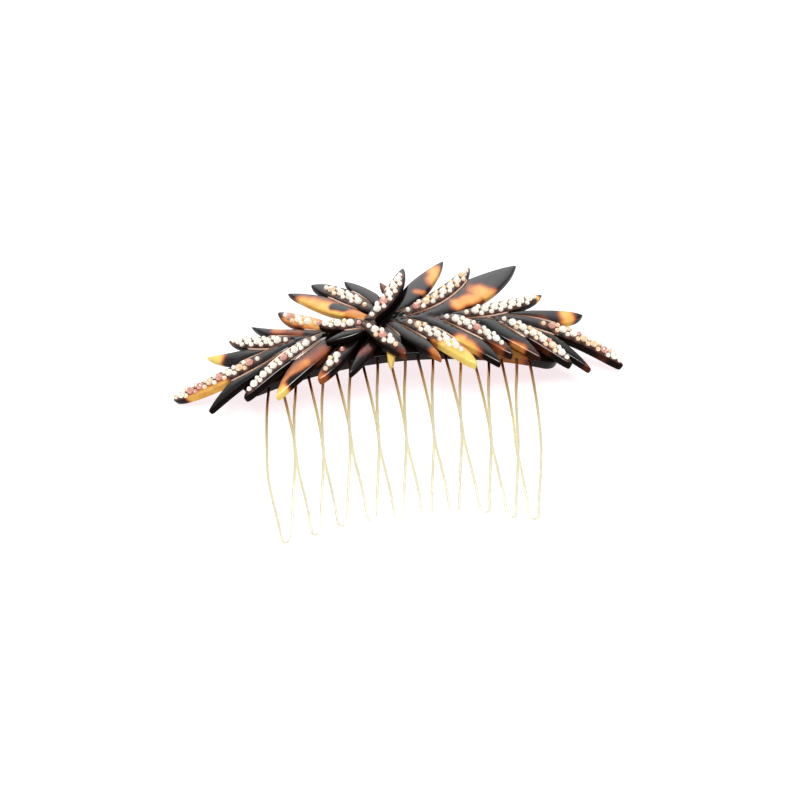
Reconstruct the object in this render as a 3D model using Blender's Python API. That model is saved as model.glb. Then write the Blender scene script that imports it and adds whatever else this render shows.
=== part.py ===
"""Decorative hair comb: two leaf sprays and a small centre sprig of tortoiseshell acetate, set with
rhinestones, pinned on a curved acetate bar that holds ten gold wire teeth.

Frame: metres, +Z up. The comb lies on its back with the ornament facing up. The origin is the middle
of the bar's crown-side edge face, +X runs along the bar and the teeth point along -Y.

Flat parts are drawn as (p, q, h) in millimetres: p along the bar's arc, q from the bar's tooth-side
face towards the crown, and h above the bar's middle surface. on_sheet() bends them to the head.
"""

import math
from collections import namedtuple

import bmesh
import bpy
from mathutils import Matrix, Vector
from mathutils.geometry import delaunay_2d_cdt

MM = 0.001

# Driving dimensions
HEAD_RADIUS = 92.0  # the bar's middle surface follows the head
BAR_LENGTH = 82.0
BAR_HEIGHT = 13.0
BAR_THICKNESS = 2.8
BAR_EDGE_RADIUS = 0.4
BAR_CORNER_RADIUS = 4.0
SHEET = 2.2  # thickness of the acetate sheet of the sprays and the sprig
GEM_RISE = 0.25  # leaflets that carry stones stand this much above the plain ones
SEAT_GAP = 0.2  # glue line between stacked sheets
SKIRT_START = 12.0  # above this q the sheets also bend down, towards the crown
SKIRT_RADIUS = 120.0
LIP_START = 1.0  # and below this q they bend down, over the bar's tooth-side face
LIP_RADIUS = 50.0

TOOTH_COUNT = 10
TOOTH_PITCH = 6.9
TOOTH_LENGTH = 44.6
TOOTH_DROOP = 10.4  # how far the tips curve towards the head
TOOTH_EMBED = 6.0
LEFT_REACH = 5.8  # how far a tooth's left leg enters the bar from the tooth's middle
RIGHT_REACH = 4.95  # and its right leg
OUTER_HOLES = (-33.2, 32.2)  # where the two outermost legs enter
WIRE_RADIUS = 0.38
LEG_STAGGER = 0.45  # left legs run this far below the middle surface, right legs above it
TIP_BEND = 1.2  # radius of the bend at a tooth's tip
HOLE_CLEARANCE = 0.07
BORE_END = 0.4  # a blind hole is this much deeper than what sits in it

PIN_RADIUS = 0.6
PIN_HEAD_RADIUS = 1.3
PIN_HEAD_HEIGHT = 0.5
PIN_BITE = 1.5  # how deep a pin reaches into the last sheet it holds

BIG_STONE = 2.05  # stone diameters and heights
SMALL_STONE = 1.3
BIG_STONE_HEIGHT = 1.1
SMALL_STONE_HEIGHT = 0.8
STONE_GAP = 0.08
LEAD_GAP = 0.5  # between the first small stone of a row and its first big one
BED_WIDTH = 3.4
BED_HEIGHT = 0.25
BED_GAP = 0.1  # between a bed and its leaflet

WELD = 0.02  # corners of outlines closer than this are one corner
GRID = 4.0  # spacing of the points that let a sheet bend
LEAF_STATIONS = 9
WIRE_RESOLUTION = 2  # gives a wire eight sides

BAR_TOP = BAR_THICKNESS / 2
SPRAY_BASE = BAR_TOP + SEAT_GAP
SPRAY_TOP = SPRAY_BASE + SHEET
SPRIG_BASE = SPRAY_TOP + GEM_RISE + SEAT_GAP

# How far a leg bows out from the straight line between its hole and the tip, at shares of its
# length. Inner legs cross their neighbour a quarter of the way down and run along it.
LEFT_BOW = (
    (0.0, 0.0),
    (0.12, 0.05),
    (0.25, 0.1),
    (0.42, 0.3),
    (0.5, 0.58),
    (0.58, 0.9),
    (0.66, 0.95),
    (0.75, 0.85),
    (0.9, 0.85),
)
RIGHT_BOW = (
    (0.0, 0.0),
    (0.12, 0.2),
    (0.25, 0.25),
    (0.42, 0.68),
    (0.5, 0.98),
    (0.58, 1.25),
    (0.66, 1.25),
    (0.75, 1.15),
    (0.9, 1.0),
)
FIRST_LEG_BOW = ((0.0, 0.0), (0.12, 0.9), (0.25, 1.6), (0.42, 2.3), (0.58, 2.8), (0.75, 2.3), (0.9, 1.5))
LAST_LEG_BOW = ((0.0, 0.0), (0.12, 0.7), (0.25, 1.35), (0.42, 2.05), (0.58, 2.35), (0.75, 2.0), (0.9, 1.3))
# Sideways drift of each hand-bent tip, and how much longer or shorter than the others it is
TIP_DRIFT = (-0.6, -0.1, -0.4, 0.1, -0.2, -0.3, -0.4, 0.1, -0.4, -1.9)
TIP_REACH = (-0.3, 0.1, -0.4, -0.2, 0.1, 0.0, -0.3, -0.3, 0.5, 0.3)

# One leaflet of a sheet: its root and tip in (p, q), its width, how far its middle bows to the left
# of the line from root to tip, the share of its length that carries stones, the distance between its
# big stones, the share of its length at which it is widest, and whether its tip is blunt although it
# carries no stones.
Leaf = namedtuple("Leaf", "name root tip width bow stones pitch peak blunt", defaults=(None, 2.9, 0.5, False))

RIGHT_SPRAY = (
    Leaf("upper_0", (-4.4, 10.6), (3.4, 20.2), 3.4, 0.3),
    Leaf("upper_1", (-2.4, 11.2), (13.4, 32.5), 6.2, -0.8, peak=0.62),
    Leaf("upper_3", (6.0, 10.5), (32.4, 33.2), 9.3, -1.8, peak=0.6),
    Leaf("upper_5", (24.0, 10.5), (49.4, 18.3), 5.8, -1.3, blunt=True),
    Leaf("lower_back", (-3.5, 8.5), (-12.9, -6.2), 3.8, 0.3),
    Leaf("lower_0", (-1.0, 9.5), (-2.4, -5.6), 2.5, 0.0, blunt=True),
    Leaf("lower_short", (-3.6, 9.6), (0.9, 1.8), 3.6, 0.0),
    Leaf("lower_1", (-2.5, 10.0), (10.5, -4.3), 4.3, 0.5),
    Leaf("lower_3", (7.6, 9.4), (25.4, -5.2), 5.8, 1.3),
    Leaf("lower_5", (20.0, 10.3), (36.1, -1.5), 5.3, 1.2),
    Leaf("lower_7", (28.5, 11.0), (49.9, -1.2), 4.4, 1.2),
    Leaf("upper_2", (0.0, 11.3), (19.9, 29.7), 4.6, -2.9, (0.12, 0.93)),
    Leaf("upper_4", (13.0, 10.4), (38.3, 22.0), 4.3, -1.9, (0.17, 0.94), 2.65),
    Leaf("lower_2", (0.5, 10.0), (19.1, -6.1), 4.8, 1.1, (0.14, 0.82)),
    Leaf("lower_4", (11.0, 10.2), (28.6, -2.0), 4.5, 1.7, (0.08, 0.88)),
    Leaf("lower_6", (25.0, 10.8), (44.4, -1.5), 4.4, 1.2, (0.1, 0.92)),
    Leaf("end", (26.0, 11.0), (59.7, 4.3), 4.6, 2.0, (0.33, 0.94)),
)
LEFT_SPRAY = (
    Leaf("upper_2", (-3.4, 16.1), (-12.2, 27.5), 4.1, 0.0, peak=0.3),
    Leaf("upper_4", (-7.5, 12.2), (-27.1, 28.3), 5.3, 0.2),
    Leaf("upper_6", (-16.5, 9.8), (-37.6, 20.3), 4.0, 2.6),
    Leaf("upper_8", (-24.5, 9.0), (-51.2, 16.8), 5.3, 2.9),
    Leaf("lower_1", (-22.0, 9.0), (-51.4, -2.4), 5.4, -1.9),
    Leaf("lower_3", (-13.0, 9.0), (-32.2, -7.3), 6.7, -1.2),
    Leaf("upper_3", (-5.1, 13.5), (-20.7, 28.7), 4.9, -0.6, (0.16, 0.85), 3.0),
    Leaf("upper_5", (-15.0, 10.5), (-29.9, 21.6), 4.3, 1.2, (0.3, 0.93)),
    Leaf("upper_7", (-22.0, 8.6), (-44.0, 18.1), 4.3, 1.4, (0.26, 0.93)),
    Leaf("lower_2", (-17.0, 9.0), (-40.8, -3.8), 4.7, -1.3, (0.15, 0.94), 3.3),
    Leaf("lower_4", (-8.4, 8.5), (-20.8, -6.0), 4.6, 0.2, (0.46, 0.93)),
    Leaf("end", (-26.0, 9.3), (-62.0, 8.5), 5.0, 2.6, (0.28, 0.945)),
)
CENTRE_SPRIG = (
    Leaf("back_small", (-0.4, 15.5), (-3.2, 22.0), 2.2, 0.0),
    Leaf("lower_left", (-6.0, 6.8), (-18.2, 3.6), 3.4, 0.1),
    Leaf("up", (-8.0, 7.2), (3.0, 26.4), 4.2, -1.6, (0.14, 0.88)),
    Leaf("left", (-6.5, 6.8), (-19.5, 10.0), 3.8, 0.3, (0.2, 0.93), 3.2),
    Leaf("lower_right", (-8.5, 7.7), (1.8, -5.0), 4.0, 0.1, (0.16, 0.8)),
)

# The stalk of each sheet, as (p, q) of its ends and its width at each end
RIGHT_STALK = ((-7.0, 9.4, 5.4), (34.0, 10.3, 1.6))
LEFT_STALK = ((-7.5, 10.4, 4.8), (-34.0, 9.0, 1.8))
SPRIG_STALK = ((-11.0, 7.0, 2.2), (-5.0, 7.6, 4.0))

# Pins from the back of the bar, as (p, q)
PIN_RIGHT_OUTER = (22.0, 10.4)
PIN_LEFT_OUTER = (-24.0, 9.2)
PIN_CENTRE_RIGHT = (-5.9, 8.2)  # the centre pins also hold the sprig
PIN_CENTRE_LEFT = (-11.2, 8.5)


def material(name, colour, roughness, metallic):
    """A Principled material."""
    made = bpy.data.materials.new(name)
    made.use_nodes = True
    shader = made.node_tree.nodes["Principled BSDF"]
    shader.inputs["Base Color"].default_value = (*colour, 1.0)
    shader.inputs["Roughness"].default_value = roughness
    shader.inputs["Metallic"].default_value = metallic
    return made


def on_bar(p, q, h):
    """The place in metres of the point (p, q, h) of the bar or of something square to it."""
    r = HEAD_RADIUS + h
    angle = p / HEAD_RADIUS
    z = r * math.cos(angle) - HEAD_RADIUS
    return MM * Vector((r * math.sin(angle), q - BAR_HEIGHT, z))


def on_sheet(p, q, h, flat_radius):
    """As on_bar, for a sheet: p is true length at flat_radius, and top and bottom bend down."""
    skirt = max(q - SKIRT_START, 0.0) ** 2 / (2 * SKIRT_RADIUS)
    lip = max(LIP_START - q, 0.0) ** 2 / (2 * LIP_RADIUS)
    return on_bar(p * HEAD_RADIUS / flat_radius, q, h) - MM * Vector((0, 0, skirt + lip))


def add_object(name, mesh, finish):
    """A scene object for this mesh, shaded smooth except at its sharp edges."""
    mesh.materials.append(finish)
    mesh.shade_smooth()
    mesh.set_sharp_from_angle(angle=math.radians(35))
    made = bpy.data.objects.new(name, mesh)
    bpy.context.scene.collection.objects.link(made)
    return made


def centreline(leaf, t):
    """Point and unit direction of a leaflet's centreline at share t of its length."""
    root, tip = Vector(leaf.root), Vector(leaf.tip)
    chord = tip - root
    left = Vector((-chord.y, chord.x)).normalized()
    middle = (root + tip) / 2 + 2 * leaf.bow * left
    point = (1 - t) ** 2 * root + 2 * t * (1 - t) * middle + t**2 * tip
    direction = (1 - t) * (middle - root) + t * (tip - middle)
    return point, direction.normalized()


def leaf_half_width(leaf, t):
    """Half-width of a leaflet: narrow at the root, and blunter at the tip if it has stones."""
    rise = math.sin(min(t / leaf.peak, 1.0) * math.pi / 2)
    if leaf.stones or leaf.blunt:
        return leaf.width / 2 * (0.4 + 0.6 * rise) * (1 - t**4.5) ** 0.65
    return leaf.width / 2 * (0.4 + 0.6 * rise**1.5) * 1.08 * (1 - t**2.6) ** 0.8


def leaf_outline(leaf):
    """Corners of a leaflet, up its right side, round the tip and back along its left."""
    shares = [1 - (1 - i / LEAF_STATIONS) ** 1.4 for i in range(LEAF_STATIONS)]
    right, left = [], []
    for t in shares:
        point, direction = centreline(leaf, t)
        across = Vector((direction.y, -direction.x)) * leaf_half_width(leaf, t)
        right.append(point + across)
        left.append(point - across)
    return right + [Vector(leaf.tip)] + left[::-1]


def stalk_outline(stalk):
    """A tapered bar from one end to the other."""
    (p0, q0, wide), (p1, q1, narrow) = stalk
    left = Vector((q0 - q1, p1 - p0)).normalized()
    start, end = Vector((p0, q0)), Vector((p1, q1))
    return [
        start - left * wide / 2,
        end - left * narrow / 2,
        end + left * narrow / 2,
        start + left * wide / 2,
    ]


def holds(outline, point):
    """Whether a point of the sheet lies inside an outline."""
    inside = False
    for a, b in zip(outline, outline[1:] + outline[:1]):
        if (a.y > point.y) != (b.y > point.y):
            if point.x < a.x + (point.y - a.y) / (b.y - a.y) * (b.x - a.x):
                inside = not inside
    return inside


def grid_points(outlines):
    """Points on a square grid inside the outlines."""
    corners = [corner for outline in outlines for corner in outline]
    low_p, high_p = min(c.x for c in corners), max(c.x for c in corners)
    low_q, high_q = min(c.y for c in corners), max(c.y for c in corners)
    found = []
    for i in range(math.floor(low_p / GRID), math.ceil(high_p / GRID) + 1):
        for j in range(math.floor(low_q / GRID), math.ceil(high_q / GRID) + 1):
            point = Vector((i * GRID, j * GRID))
            if any(holds(outline, point) for outline in outlines):
                found.append(point)
    return found


def triangulated(outlines, loose):
    """Corners, triangles and, for each triangle, the outlines that hold it."""
    corners, loops = [], []
    for outline in outlines:
        loops.append(list(range(len(corners), len(corners) + len(outline))))
        corners += outline
    corners, _, faces, *_ = delaunay_2d_cdt(corners + loose, [], loops, 1, WELD)
    triangles, holders = [], []
    for face in faces:
        middle = sum((corners[i] for i in face), Vector((0, 0))) / 3
        inside = [k for k, outline in enumerate(outlines) if holds(outline, middle)]
        if inside:
            triangles.append(face)
            holders.append(inside)
    return corners, triangles, holders


def terraced(name, regions, base, flat_radius, finish, bends=True):
    """One solid whose underside is at height base. Each region is (outline, height), and where
    regions overlap the last one sets the height, so that its edge is a step."""
    outlines = [outline for outline, _ in regions]
    loose = grid_points(outlines) if bends else []
    corners, triangles, holders = triangulated(outlines, loose)
    heights = [regions[max(inside)][1] for inside in holders]

    # Edges of the triangulation, each with the triangles on its two sides
    sides = {}
    for index, face in enumerate(triangles):
        for a, b in zip(face, face[1:] + face[:1]):
            sides.setdefault((min(a, b), max(a, b)), []).append((index, a, b))
    levels = {}
    for face, height in zip(triangles, heights):
        for corner in face:
            levels.setdefault(corner, set()).add(height)
    rim = [found[0][1:] for found in sides.values() if len(found) == 1]
    for a, b in rim:
        levels[a].add(0.0)
        levels[b].add(0.0)

    shape = bmesh.new()
    made = {}

    def vertex(corner, height):
        if (corner, height) not in made:
            at = corners[corner]
            place = on_sheet(at.x, at.y, base + height, flat_radius)
            made[corner, height] = shape.verts.new(place)
        return made[corner, height]

    def wall(a, b, low, high):
        """A wall under the edge a to b, with every level that its ends have in between."""
        rising = [vertex(b, h) for h in sorted(levels[b]) if low <= h <= high]
        falling = [vertex(a, h) for h in sorted(levels[a], reverse=True) if low <= h <= high]
        shape.faces.new(falling + rising)

    for face, height in zip(triangles, heights):
        shape.faces.new([vertex(corner, height) for corner in face])
    for found in sides.values():
        if len(found) == 1:
            index, a, b = found[0]
            wall(a, b, 0.0, heights[index])
        elif heights[found[0][0]] != heights[found[1][0]]:
            index, a, b = max(found, key=lambda side: heights[side[0]])
            wall(a, b, min(heights[k] for k, _, _ in found), heights[index])
    underside(shape, corners, rim, loose, vertex, outlines)
    mesh = bpy.data.meshes.new(name)
    shape.to_mesh(mesh)
    shape.free()
    return add_object(name, mesh, finish)


def underside(shape, corners, rim, loose, vertex, outlines):
    """Closes a terraced solid with triangles between its rim's lower corners and the grid."""
    owners = sorted({corner for edge in rim for corner in edge})
    order = {corner: k for k, corner in enumerate(owners)}
    edges = [(order[a], order[b]) for a, b in rim]
    at = [corners[corner] for corner in owners] + loose
    owners += [min(range(len(corners)), key=lambda k: (corners[k] - p).length) for p in loose]
    found, _, faces, sources, *_ = delaunay_2d_cdt(at, edges, [], 1, WELD / 10)
    for face in faces:
        middle = sum((found[i] for i in face), Vector((0, 0))) / 3
        if any(holds(outline, middle) for outline in outlines):
            shape.faces.new([vertex(owners[min(sources[i])], 0.0) for i in reversed(face)])


def lathed(name, profile, sides, place, axis):
    """A closed mesh of revolution about axis, from (radius, height) pairs in millimetres."""
    shape = bmesh.new()
    angles = [2 * math.pi * (k + 0.5) / sides for k in range(sides)]
    rings = []
    for radius, height in profile:
        at = [Vector((radius * math.cos(a), radius * math.sin(a), height)) for a in angles]
        rings.append([shape.verts.new(MM * point) for point in at])
    for low, high in zip(rings, rings[1:]):
        for k in range(sides):
            after = (k + 1) % sides
            shape.faces.new((low[k], low[after], high[after], high[k]))
    shape.faces.new(rings[0][::-1])
    shape.faces.new(rings[-1])
    turn = axis.to_track_quat("Z", "Y").to_matrix().to_4x4()
    shape.transform(Matrix.Translation(place) @ turn)
    mesh = bpy.data.meshes.new(name)
    shape.to_mesh(mesh)
    shape.free()
    return mesh


def drill(target, name, place, axis, radius, length, sides):
    """Cuts a round hole with a closed cylinder that starts at place and runs along axis."""
    mesh = lathed(name, ((radius, 0.0), (radius, length)), sides, place, axis)
    cutter = bpy.data.objects.new(name, mesh)
    cutter.hide_render = True
    cutter.display_type = "WIRE"
    bpy.context.scene.collection.objects.link(cutter)
    cut = target.modifiers.new(name, "BOOLEAN")
    cut.operation = "DIFFERENCE"
    cut.solver = "EXACT"
    cut.object = cutter


def bar_section(p):
    """The bar's cross-section at p, as (q, h) corners: a slab with rounded edges, whose height
    closes over the corner radius at each end."""
    from_end = BAR_LENGTH / 2 - abs(p)
    lost = 0.0
    if from_end < BAR_CORNER_RADIUS:
        reach = BAR_CORNER_RADIUS - from_end
        lost = BAR_CORNER_RADIUS - math.sqrt(BAR_CORNER_RADIUS**2 - reach**2)
    low, high = lost, BAR_HEIGHT - lost
    r, half = BAR_EDGE_RADIUS, BAR_THICKNESS / 2
    corners = []
    for centre_q, centre_h, turn in (
        (high - r, half - r, 0),
        (low + r, half - r, 90),
        (low + r, r - half, 180),
        (high - r, r - half, 270),
    ):
        for step in (0, 45, 90):
            angle = math.radians(turn + step)
            corners.append((centre_q + r * math.cos(angle), centre_h + r * math.sin(angle)))
    return corners


def make_bar(finish):
    """The curved bar, lofted through its cross-sections."""
    end = BAR_LENGTH / 2
    stations = [end - 0.01, end - 0.4, end - 1.2, end - 2.4, end - BAR_CORNER_RADIUS]
    inner = [end - BAR_CORNER_RADIUS - GRID * k for k in range(1, 9)]
    rights = sorted(set(stations + inner))
    places = [-p for p in reversed(rights)] + [0.0] + rights
    shape = bmesh.new()
    rings = []
    for p in places:
        rings.append([shape.verts.new(on_bar(p, q, h)) for q, h in bar_section(p)])
    for near, far in zip(rings, rings[1:]):
        for k, corner in enumerate(near):
            after = (k + 1) % len(near)
            shape.faces.new((corner, near[after], far[after], far[k]))
    shape.faces.new(rings[0][::-1])
    shape.faces.new(rings[-1])
    bmesh.ops.recalc_face_normals(shape, faces=shape.faces)
    mesh = bpy.data.meshes.new("back_bar")
    shape.to_mesh(mesh)
    shape.free()
    return add_object("back_bar", mesh, finish)


def leg_bow(stations, share):
    """Smooth curve through the (share, bow) stations of a leg."""
    last = len(stations) - 1
    k = max(i for i in range(last) if stations[i][0] <= share)
    before, after = stations[max(k - 1, 0)], stations[min(k + 2, last)]
    (a, low), (b, high) = stations[k], stations[k + 1]
    x = (share - a) / (b - a)
    start = (high - before[1]) * (b - a) / (b - before[0])
    end = (after[1] - low) * (b - a) / (after[0] - a)
    return (
        (2 * x**3 - 3 * x**2 + 1) * low
        + (x**3 - 2 * x**2 + x) * start
        + (3 * x**2 - 2 * x**3) * high
        + (x**3 - x**2) * end
    )


def leg_holes(index):
    """Where the left and the right leg of a tooth enter the bar."""
    middle = (index - (TOOTH_COUNT - 1) / 2) * TOOTH_PITCH
    left = OUTER_HOLES[0] if index == 0 else middle - LEFT_REACH
    right = OUTER_HOLES[1] if index == TOOTH_COUNT - 1 else middle + RIGHT_REACH
    return left, right


def leg_height(share):
    """How far a leg runs from the middle surface: a tooth's legs come level before its bend."""
    fade = min(max((share - 0.6) / 0.25, 0.0), 1.0)
    return LEG_STAGGER * (1 - fade * fade * (3 - 2 * fade))


def on_tooth(x, down, h):
    """A point of a tooth: x across, down from the bar and h above its curved middle surface."""
    share = max(down, 0.0) / TOOTH_LENGTH
    z = math.sqrt(HEAD_RADIUS**2 - x**2) - HEAD_RADIUS
    return MM * Vector((x, -down - BAR_HEIGHT, z + h - TOOTH_DROOP * share**2))


def tooth_path(index):
    """Centreline of one hairpin: down its left leg, round the tip and up its right leg."""
    left, right = leg_holes(index)
    tip = (index - (TOOTH_COUNT - 1) / 2) * TOOTH_PITCH + TIP_DRIFT[index]
    left_bow = FIRST_LEG_BOW if index == 0 else LEFT_BOW
    right_bow = LAST_LEG_BOW if index == TOOTH_COUNT - 1 else RIGHT_BOW
    shares = (0.0, 0.06, 0.14, 0.22, 0.3, 0.4, 0.5, 0.58, 0.66, 0.74, 0.82, 0.9)
    down, up = [], []
    reach = TOOTH_LENGTH + TIP_REACH[index]
    for share in shares:
        h = leg_height(share)
        x = left + (tip - left) * share - leg_bow(left_bow, share)
        down.append(on_tooth(x, share * reach, -h))
        x = right + (tip - right) * share + leg_bow(right_bow, share)
        up.append(on_tooth(x, share * reach, h))
    bend = []
    for degrees in (-90, -55, -20, 20, 55, 90):
        turn = math.sin(math.radians(degrees))
        depth = reach - TIP_BEND * (1 - math.cos(math.radians(degrees)))
        bend.append(on_tooth(tip + TIP_BEND * turn, depth, 0.0))
    start = on_tooth(left, -TOOTH_EMBED, -LEG_STAGGER)
    end = on_tooth(right, -TOOTH_EMBED, LEG_STAGGER)
    return [start] + down + bend + up[::-1] + [end]


def make_tooth(index, finish):
    """One hairpin tooth, as a round wire along its path."""
    name = f"tooth_{index + 1:02d}"
    points = tooth_path(index)
    wire = bpy.data.curves.new(name, "CURVE")
    wire.dimensions = "3D"
    spline = wire.splines.new("POLY")
    spline.points.add(len(points) - 1)
    for target, point in zip(spline.points, points):
        target.co = (*point, 1.0)
    wire.bevel_depth = WIRE_RADIUS * MM
    wire.bevel_resolution = WIRE_RESOLUTION
    wire.use_fill_caps = True
    wire.materials.append(finish)
    made = bpy.data.objects.new(name, wire)
    bpy.context.scene.collection.objects.link(made)
    return made


def drill_tooth_holes(bar):
    """Two blind holes in the bar's tooth-side face for each tooth."""
    outside = 1.0
    depth = outside + TOOTH_EMBED + BORE_END
    for index in range(TOOTH_COUNT):
        left, right = leg_holes(index)
        for side, x, h in (("left", left, -LEG_STAGGER), ("right", right, LEG_STAGGER)):
            mouth = on_tooth(x, 0.0, h) - MM * Vector((0, outside, 0))
            name = f"cut_tooth_{index + 1:02d}_{side}"
            drill(bar, name, mouth, Vector((0, 1, 0)), WIRE_RADIUS + HOLE_CLEARANCE, depth, 8)


def stone_row(leaf):
    """Stones of a leaflet as (point, diameter, height): a small one leads, big ones follow with a
    pair of small ones beside each gap between them, and another small one ends the row."""
    start, end = leaf.stones
    length = (Vector(leaf.tip) - Vector(leaf.root)).length
    touch = (BIG_STONE + SMALL_STONE) / 2 + STONE_GAP
    aside = math.sqrt(max(touch**2 - (leaf.pitch / 2) ** 2, ((SMALL_STONE + STONE_GAP) / 2) ** 2))
    place = start * length
    stones = [(place, 0.0, SMALL_STONE, SMALL_STONE_HEIGHT)]
    place += touch + LEAD_GAP
    while place + BIG_STONE / 2 <= end * length:
        stones.append((place, 0.0, BIG_STONE, BIG_STONE_HEIGHT))
        for side in (-aside, aside):
            stones.append((place + leaf.pitch / 2, side, SMALL_STONE, SMALL_STONE_HEIGHT))
        place += leaf.pitch
    del stones[-2:]
    stones.append((place - leaf.pitch + touch, 0.0, SMALL_STONE, SMALL_STONE_HEIGHT))
    placed = []
    for along, offset, diameter, height in stones:
        point, direction = centreline(leaf, along / length)
        left = Vector((-direction.y, direction.x))
        placed.append((point + left * offset, diameter, height))
    return placed


def make_stones(name, leaf, sheet_top, finish):
    """The stones of one leaflet on their bed of clear glue, just above the leaflet."""
    stones = stone_row(leaf)
    length = (Vector(leaf.tip) - Vector(leaf.root)).length
    first = leaf.stones[0] - SMALL_STONE * 0.75 / length
    last_point = stones[-1][0]
    last = min(1.0, (last_point - Vector(leaf.root)).length / length + 1.3 / length)
    right, left = [], []
    steps = 8
    for k in range(steps + 1):
        t = first + (last - first) * k / steps
        point, direction = centreline(leaf, t)
        narrow = 0.62 if k in (0, steps) else 1.0
        across = Vector((direction.y, -direction.x)) * BED_WIDTH / 2 * narrow
        right.append(point + across)
        left.append(point - across)
    regions = [(right + left[::-1], BED_HEIGHT)]
    for centre, diameter, height in stones:
        corners = [
            centre + diameter / 2 * Vector((math.cos(a), math.sin(a)))
            for a in (math.radians(60 * k + 15) for k in range(6))
        ]
        regions.append((corners, height))
    base = sheet_top + GEM_RISE + BED_GAP
    return terraced(name, regions, base, HEAD_RADIUS + sheet_top, finish, bends=False)


def make_sheet(name, stalk, leaves, base, finish):
    """A spray: its stalk and leaflets cut from one sheet."""
    regions = [(stalk_outline(stalk), SHEET)]
    for leaf in leaves:
        regions.append((leaf_outline(leaf), SHEET + (GEM_RISE if leaf.stones else 0.0)))
    return terraced(name, regions, base, HEAD_RADIUS + base + SHEET, finish)


def make_pin(name, p, q, ends_in, passes, finish):
    """A headed pin square to the bar, from under the bar's back to a blind hole in the last sheet
    that it holds. Cuts its holes in the bar and in the sheets that it passes or ends in."""
    axis = on_bar(p, q, 1.0) - on_bar(p, q, 0.0)
    axis.normalize()
    under = -BAR_TOP - SEAT_GAP
    low = under - PIN_HEAD_HEIGHT
    reach = PIN_HEAD_HEIGHT + ends_in + PIN_BITE - under
    profile = (
        (PIN_HEAD_RADIUS, 0.0),
        (PIN_HEAD_RADIUS, PIN_HEAD_HEIGHT),
        (PIN_RADIUS, PIN_HEAD_HEIGHT),
        (PIN_RADIUS, reach),
    )
    place = on_bar(p, q, low)
    for target in passes:
        depth = reach + BORE_END
        radius = PIN_RADIUS + HOLE_CLEARANCE
        drill(target, f"cut_{name}_{target.name}", place, axis, radius, depth, 12)
    return add_object(name, lathed(name, profile, 12, place, axis), finish)


def main():
    for old in list(bpy.data.objects):
        bpy.data.objects.remove(old, do_unlink=True)
    tortoiseshell = material("tortoiseshell", (0.035, 0.016, 0.01), 0.12, 0.0)
    gold = material("gold_wire", (0.9, 0.68, 0.36), 0.22, 1.0)
    brass = material("brass_pin", (0.75, 0.55, 0.28), 0.35, 1.0)
    crystal = material("rhinestone", (0.93, 0.85, 0.74), 0.08, 0.0)

    bar = make_bar(tortoiseshell)
    drill_tooth_holes(bar)
    for index in range(TOOTH_COUNT):
        make_tooth(index, gold)

    right = make_sheet("right_spray", RIGHT_STALK, RIGHT_SPRAY, SPRAY_BASE, tortoiseshell)
    left = make_sheet("left_spray", LEFT_STALK, LEFT_SPRAY, SPRAY_BASE, tortoiseshell)
    sprig = make_sheet("centre_sprig", SPRIG_STALK, CENTRE_SPRIG, SPRIG_BASE, tortoiseshell)
    for sheet, leaves, base in (
        (right, RIGHT_SPRAY, SPRAY_BASE),
        (left, LEFT_SPRAY, SPRAY_BASE),
        (sprig, CENTRE_SPRIG, SPRIG_BASE),
    ):
        for leaf in leaves:
            if leaf.stones:
                make_stones(f"stones_{sheet.name}_{leaf.name}", leaf, base + SHEET, crystal)

    make_pin("pin_right_outer", *PIN_RIGHT_OUTER, SPRAY_BASE, (bar, right), brass)
    make_pin("pin_left_outer", *PIN_LEFT_OUTER, SPRAY_BASE, (bar, left), brass)
    make_pin("pin_centre_right", *PIN_CENTRE_RIGHT, SPRIG_BASE, (bar, right, sprig), brass)
    make_pin("pin_centre_left", *PIN_CENTRE_LEFT, SPRIG_BASE, (bar, left, sprig), brass)


main()
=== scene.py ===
"""Looks of the decorative hair comb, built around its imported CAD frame.

Flat parts are drawn as (p, q, h) in millimetres, as the CAD draws them: p along the bar's arc, q from
the bar's tooth-side face towards the crown, and h above the bar's middle surface. on_sheet() bends
them to the head. The same named sizes as in the CAD place every piece.
"""

import math
import random
from collections import namedtuple

import bpy
import numpy as np
from mathutils import Matrix, Vector, kdtree, noise
from mathutils.geometry import delaunay_2d_cdt


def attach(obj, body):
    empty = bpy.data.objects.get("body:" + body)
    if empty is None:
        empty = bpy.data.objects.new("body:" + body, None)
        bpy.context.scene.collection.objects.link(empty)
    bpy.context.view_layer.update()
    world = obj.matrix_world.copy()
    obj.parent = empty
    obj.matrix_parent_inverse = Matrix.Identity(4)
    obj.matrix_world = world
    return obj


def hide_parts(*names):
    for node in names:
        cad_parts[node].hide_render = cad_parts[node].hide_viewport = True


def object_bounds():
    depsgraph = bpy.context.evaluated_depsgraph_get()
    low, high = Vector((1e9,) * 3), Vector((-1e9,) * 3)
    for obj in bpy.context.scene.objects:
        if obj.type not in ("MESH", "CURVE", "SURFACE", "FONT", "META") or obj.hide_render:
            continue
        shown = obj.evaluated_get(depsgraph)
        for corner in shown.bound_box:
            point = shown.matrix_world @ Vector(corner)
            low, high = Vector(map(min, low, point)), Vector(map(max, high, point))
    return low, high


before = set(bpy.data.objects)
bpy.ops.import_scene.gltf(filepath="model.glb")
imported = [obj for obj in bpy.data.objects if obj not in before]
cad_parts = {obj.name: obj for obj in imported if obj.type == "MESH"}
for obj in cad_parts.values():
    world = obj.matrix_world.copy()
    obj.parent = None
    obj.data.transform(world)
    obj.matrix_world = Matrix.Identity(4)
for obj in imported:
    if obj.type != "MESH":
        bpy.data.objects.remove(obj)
CAD_BOX = [[float(value) for value in corner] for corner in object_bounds()]

MM = 0.001

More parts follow.
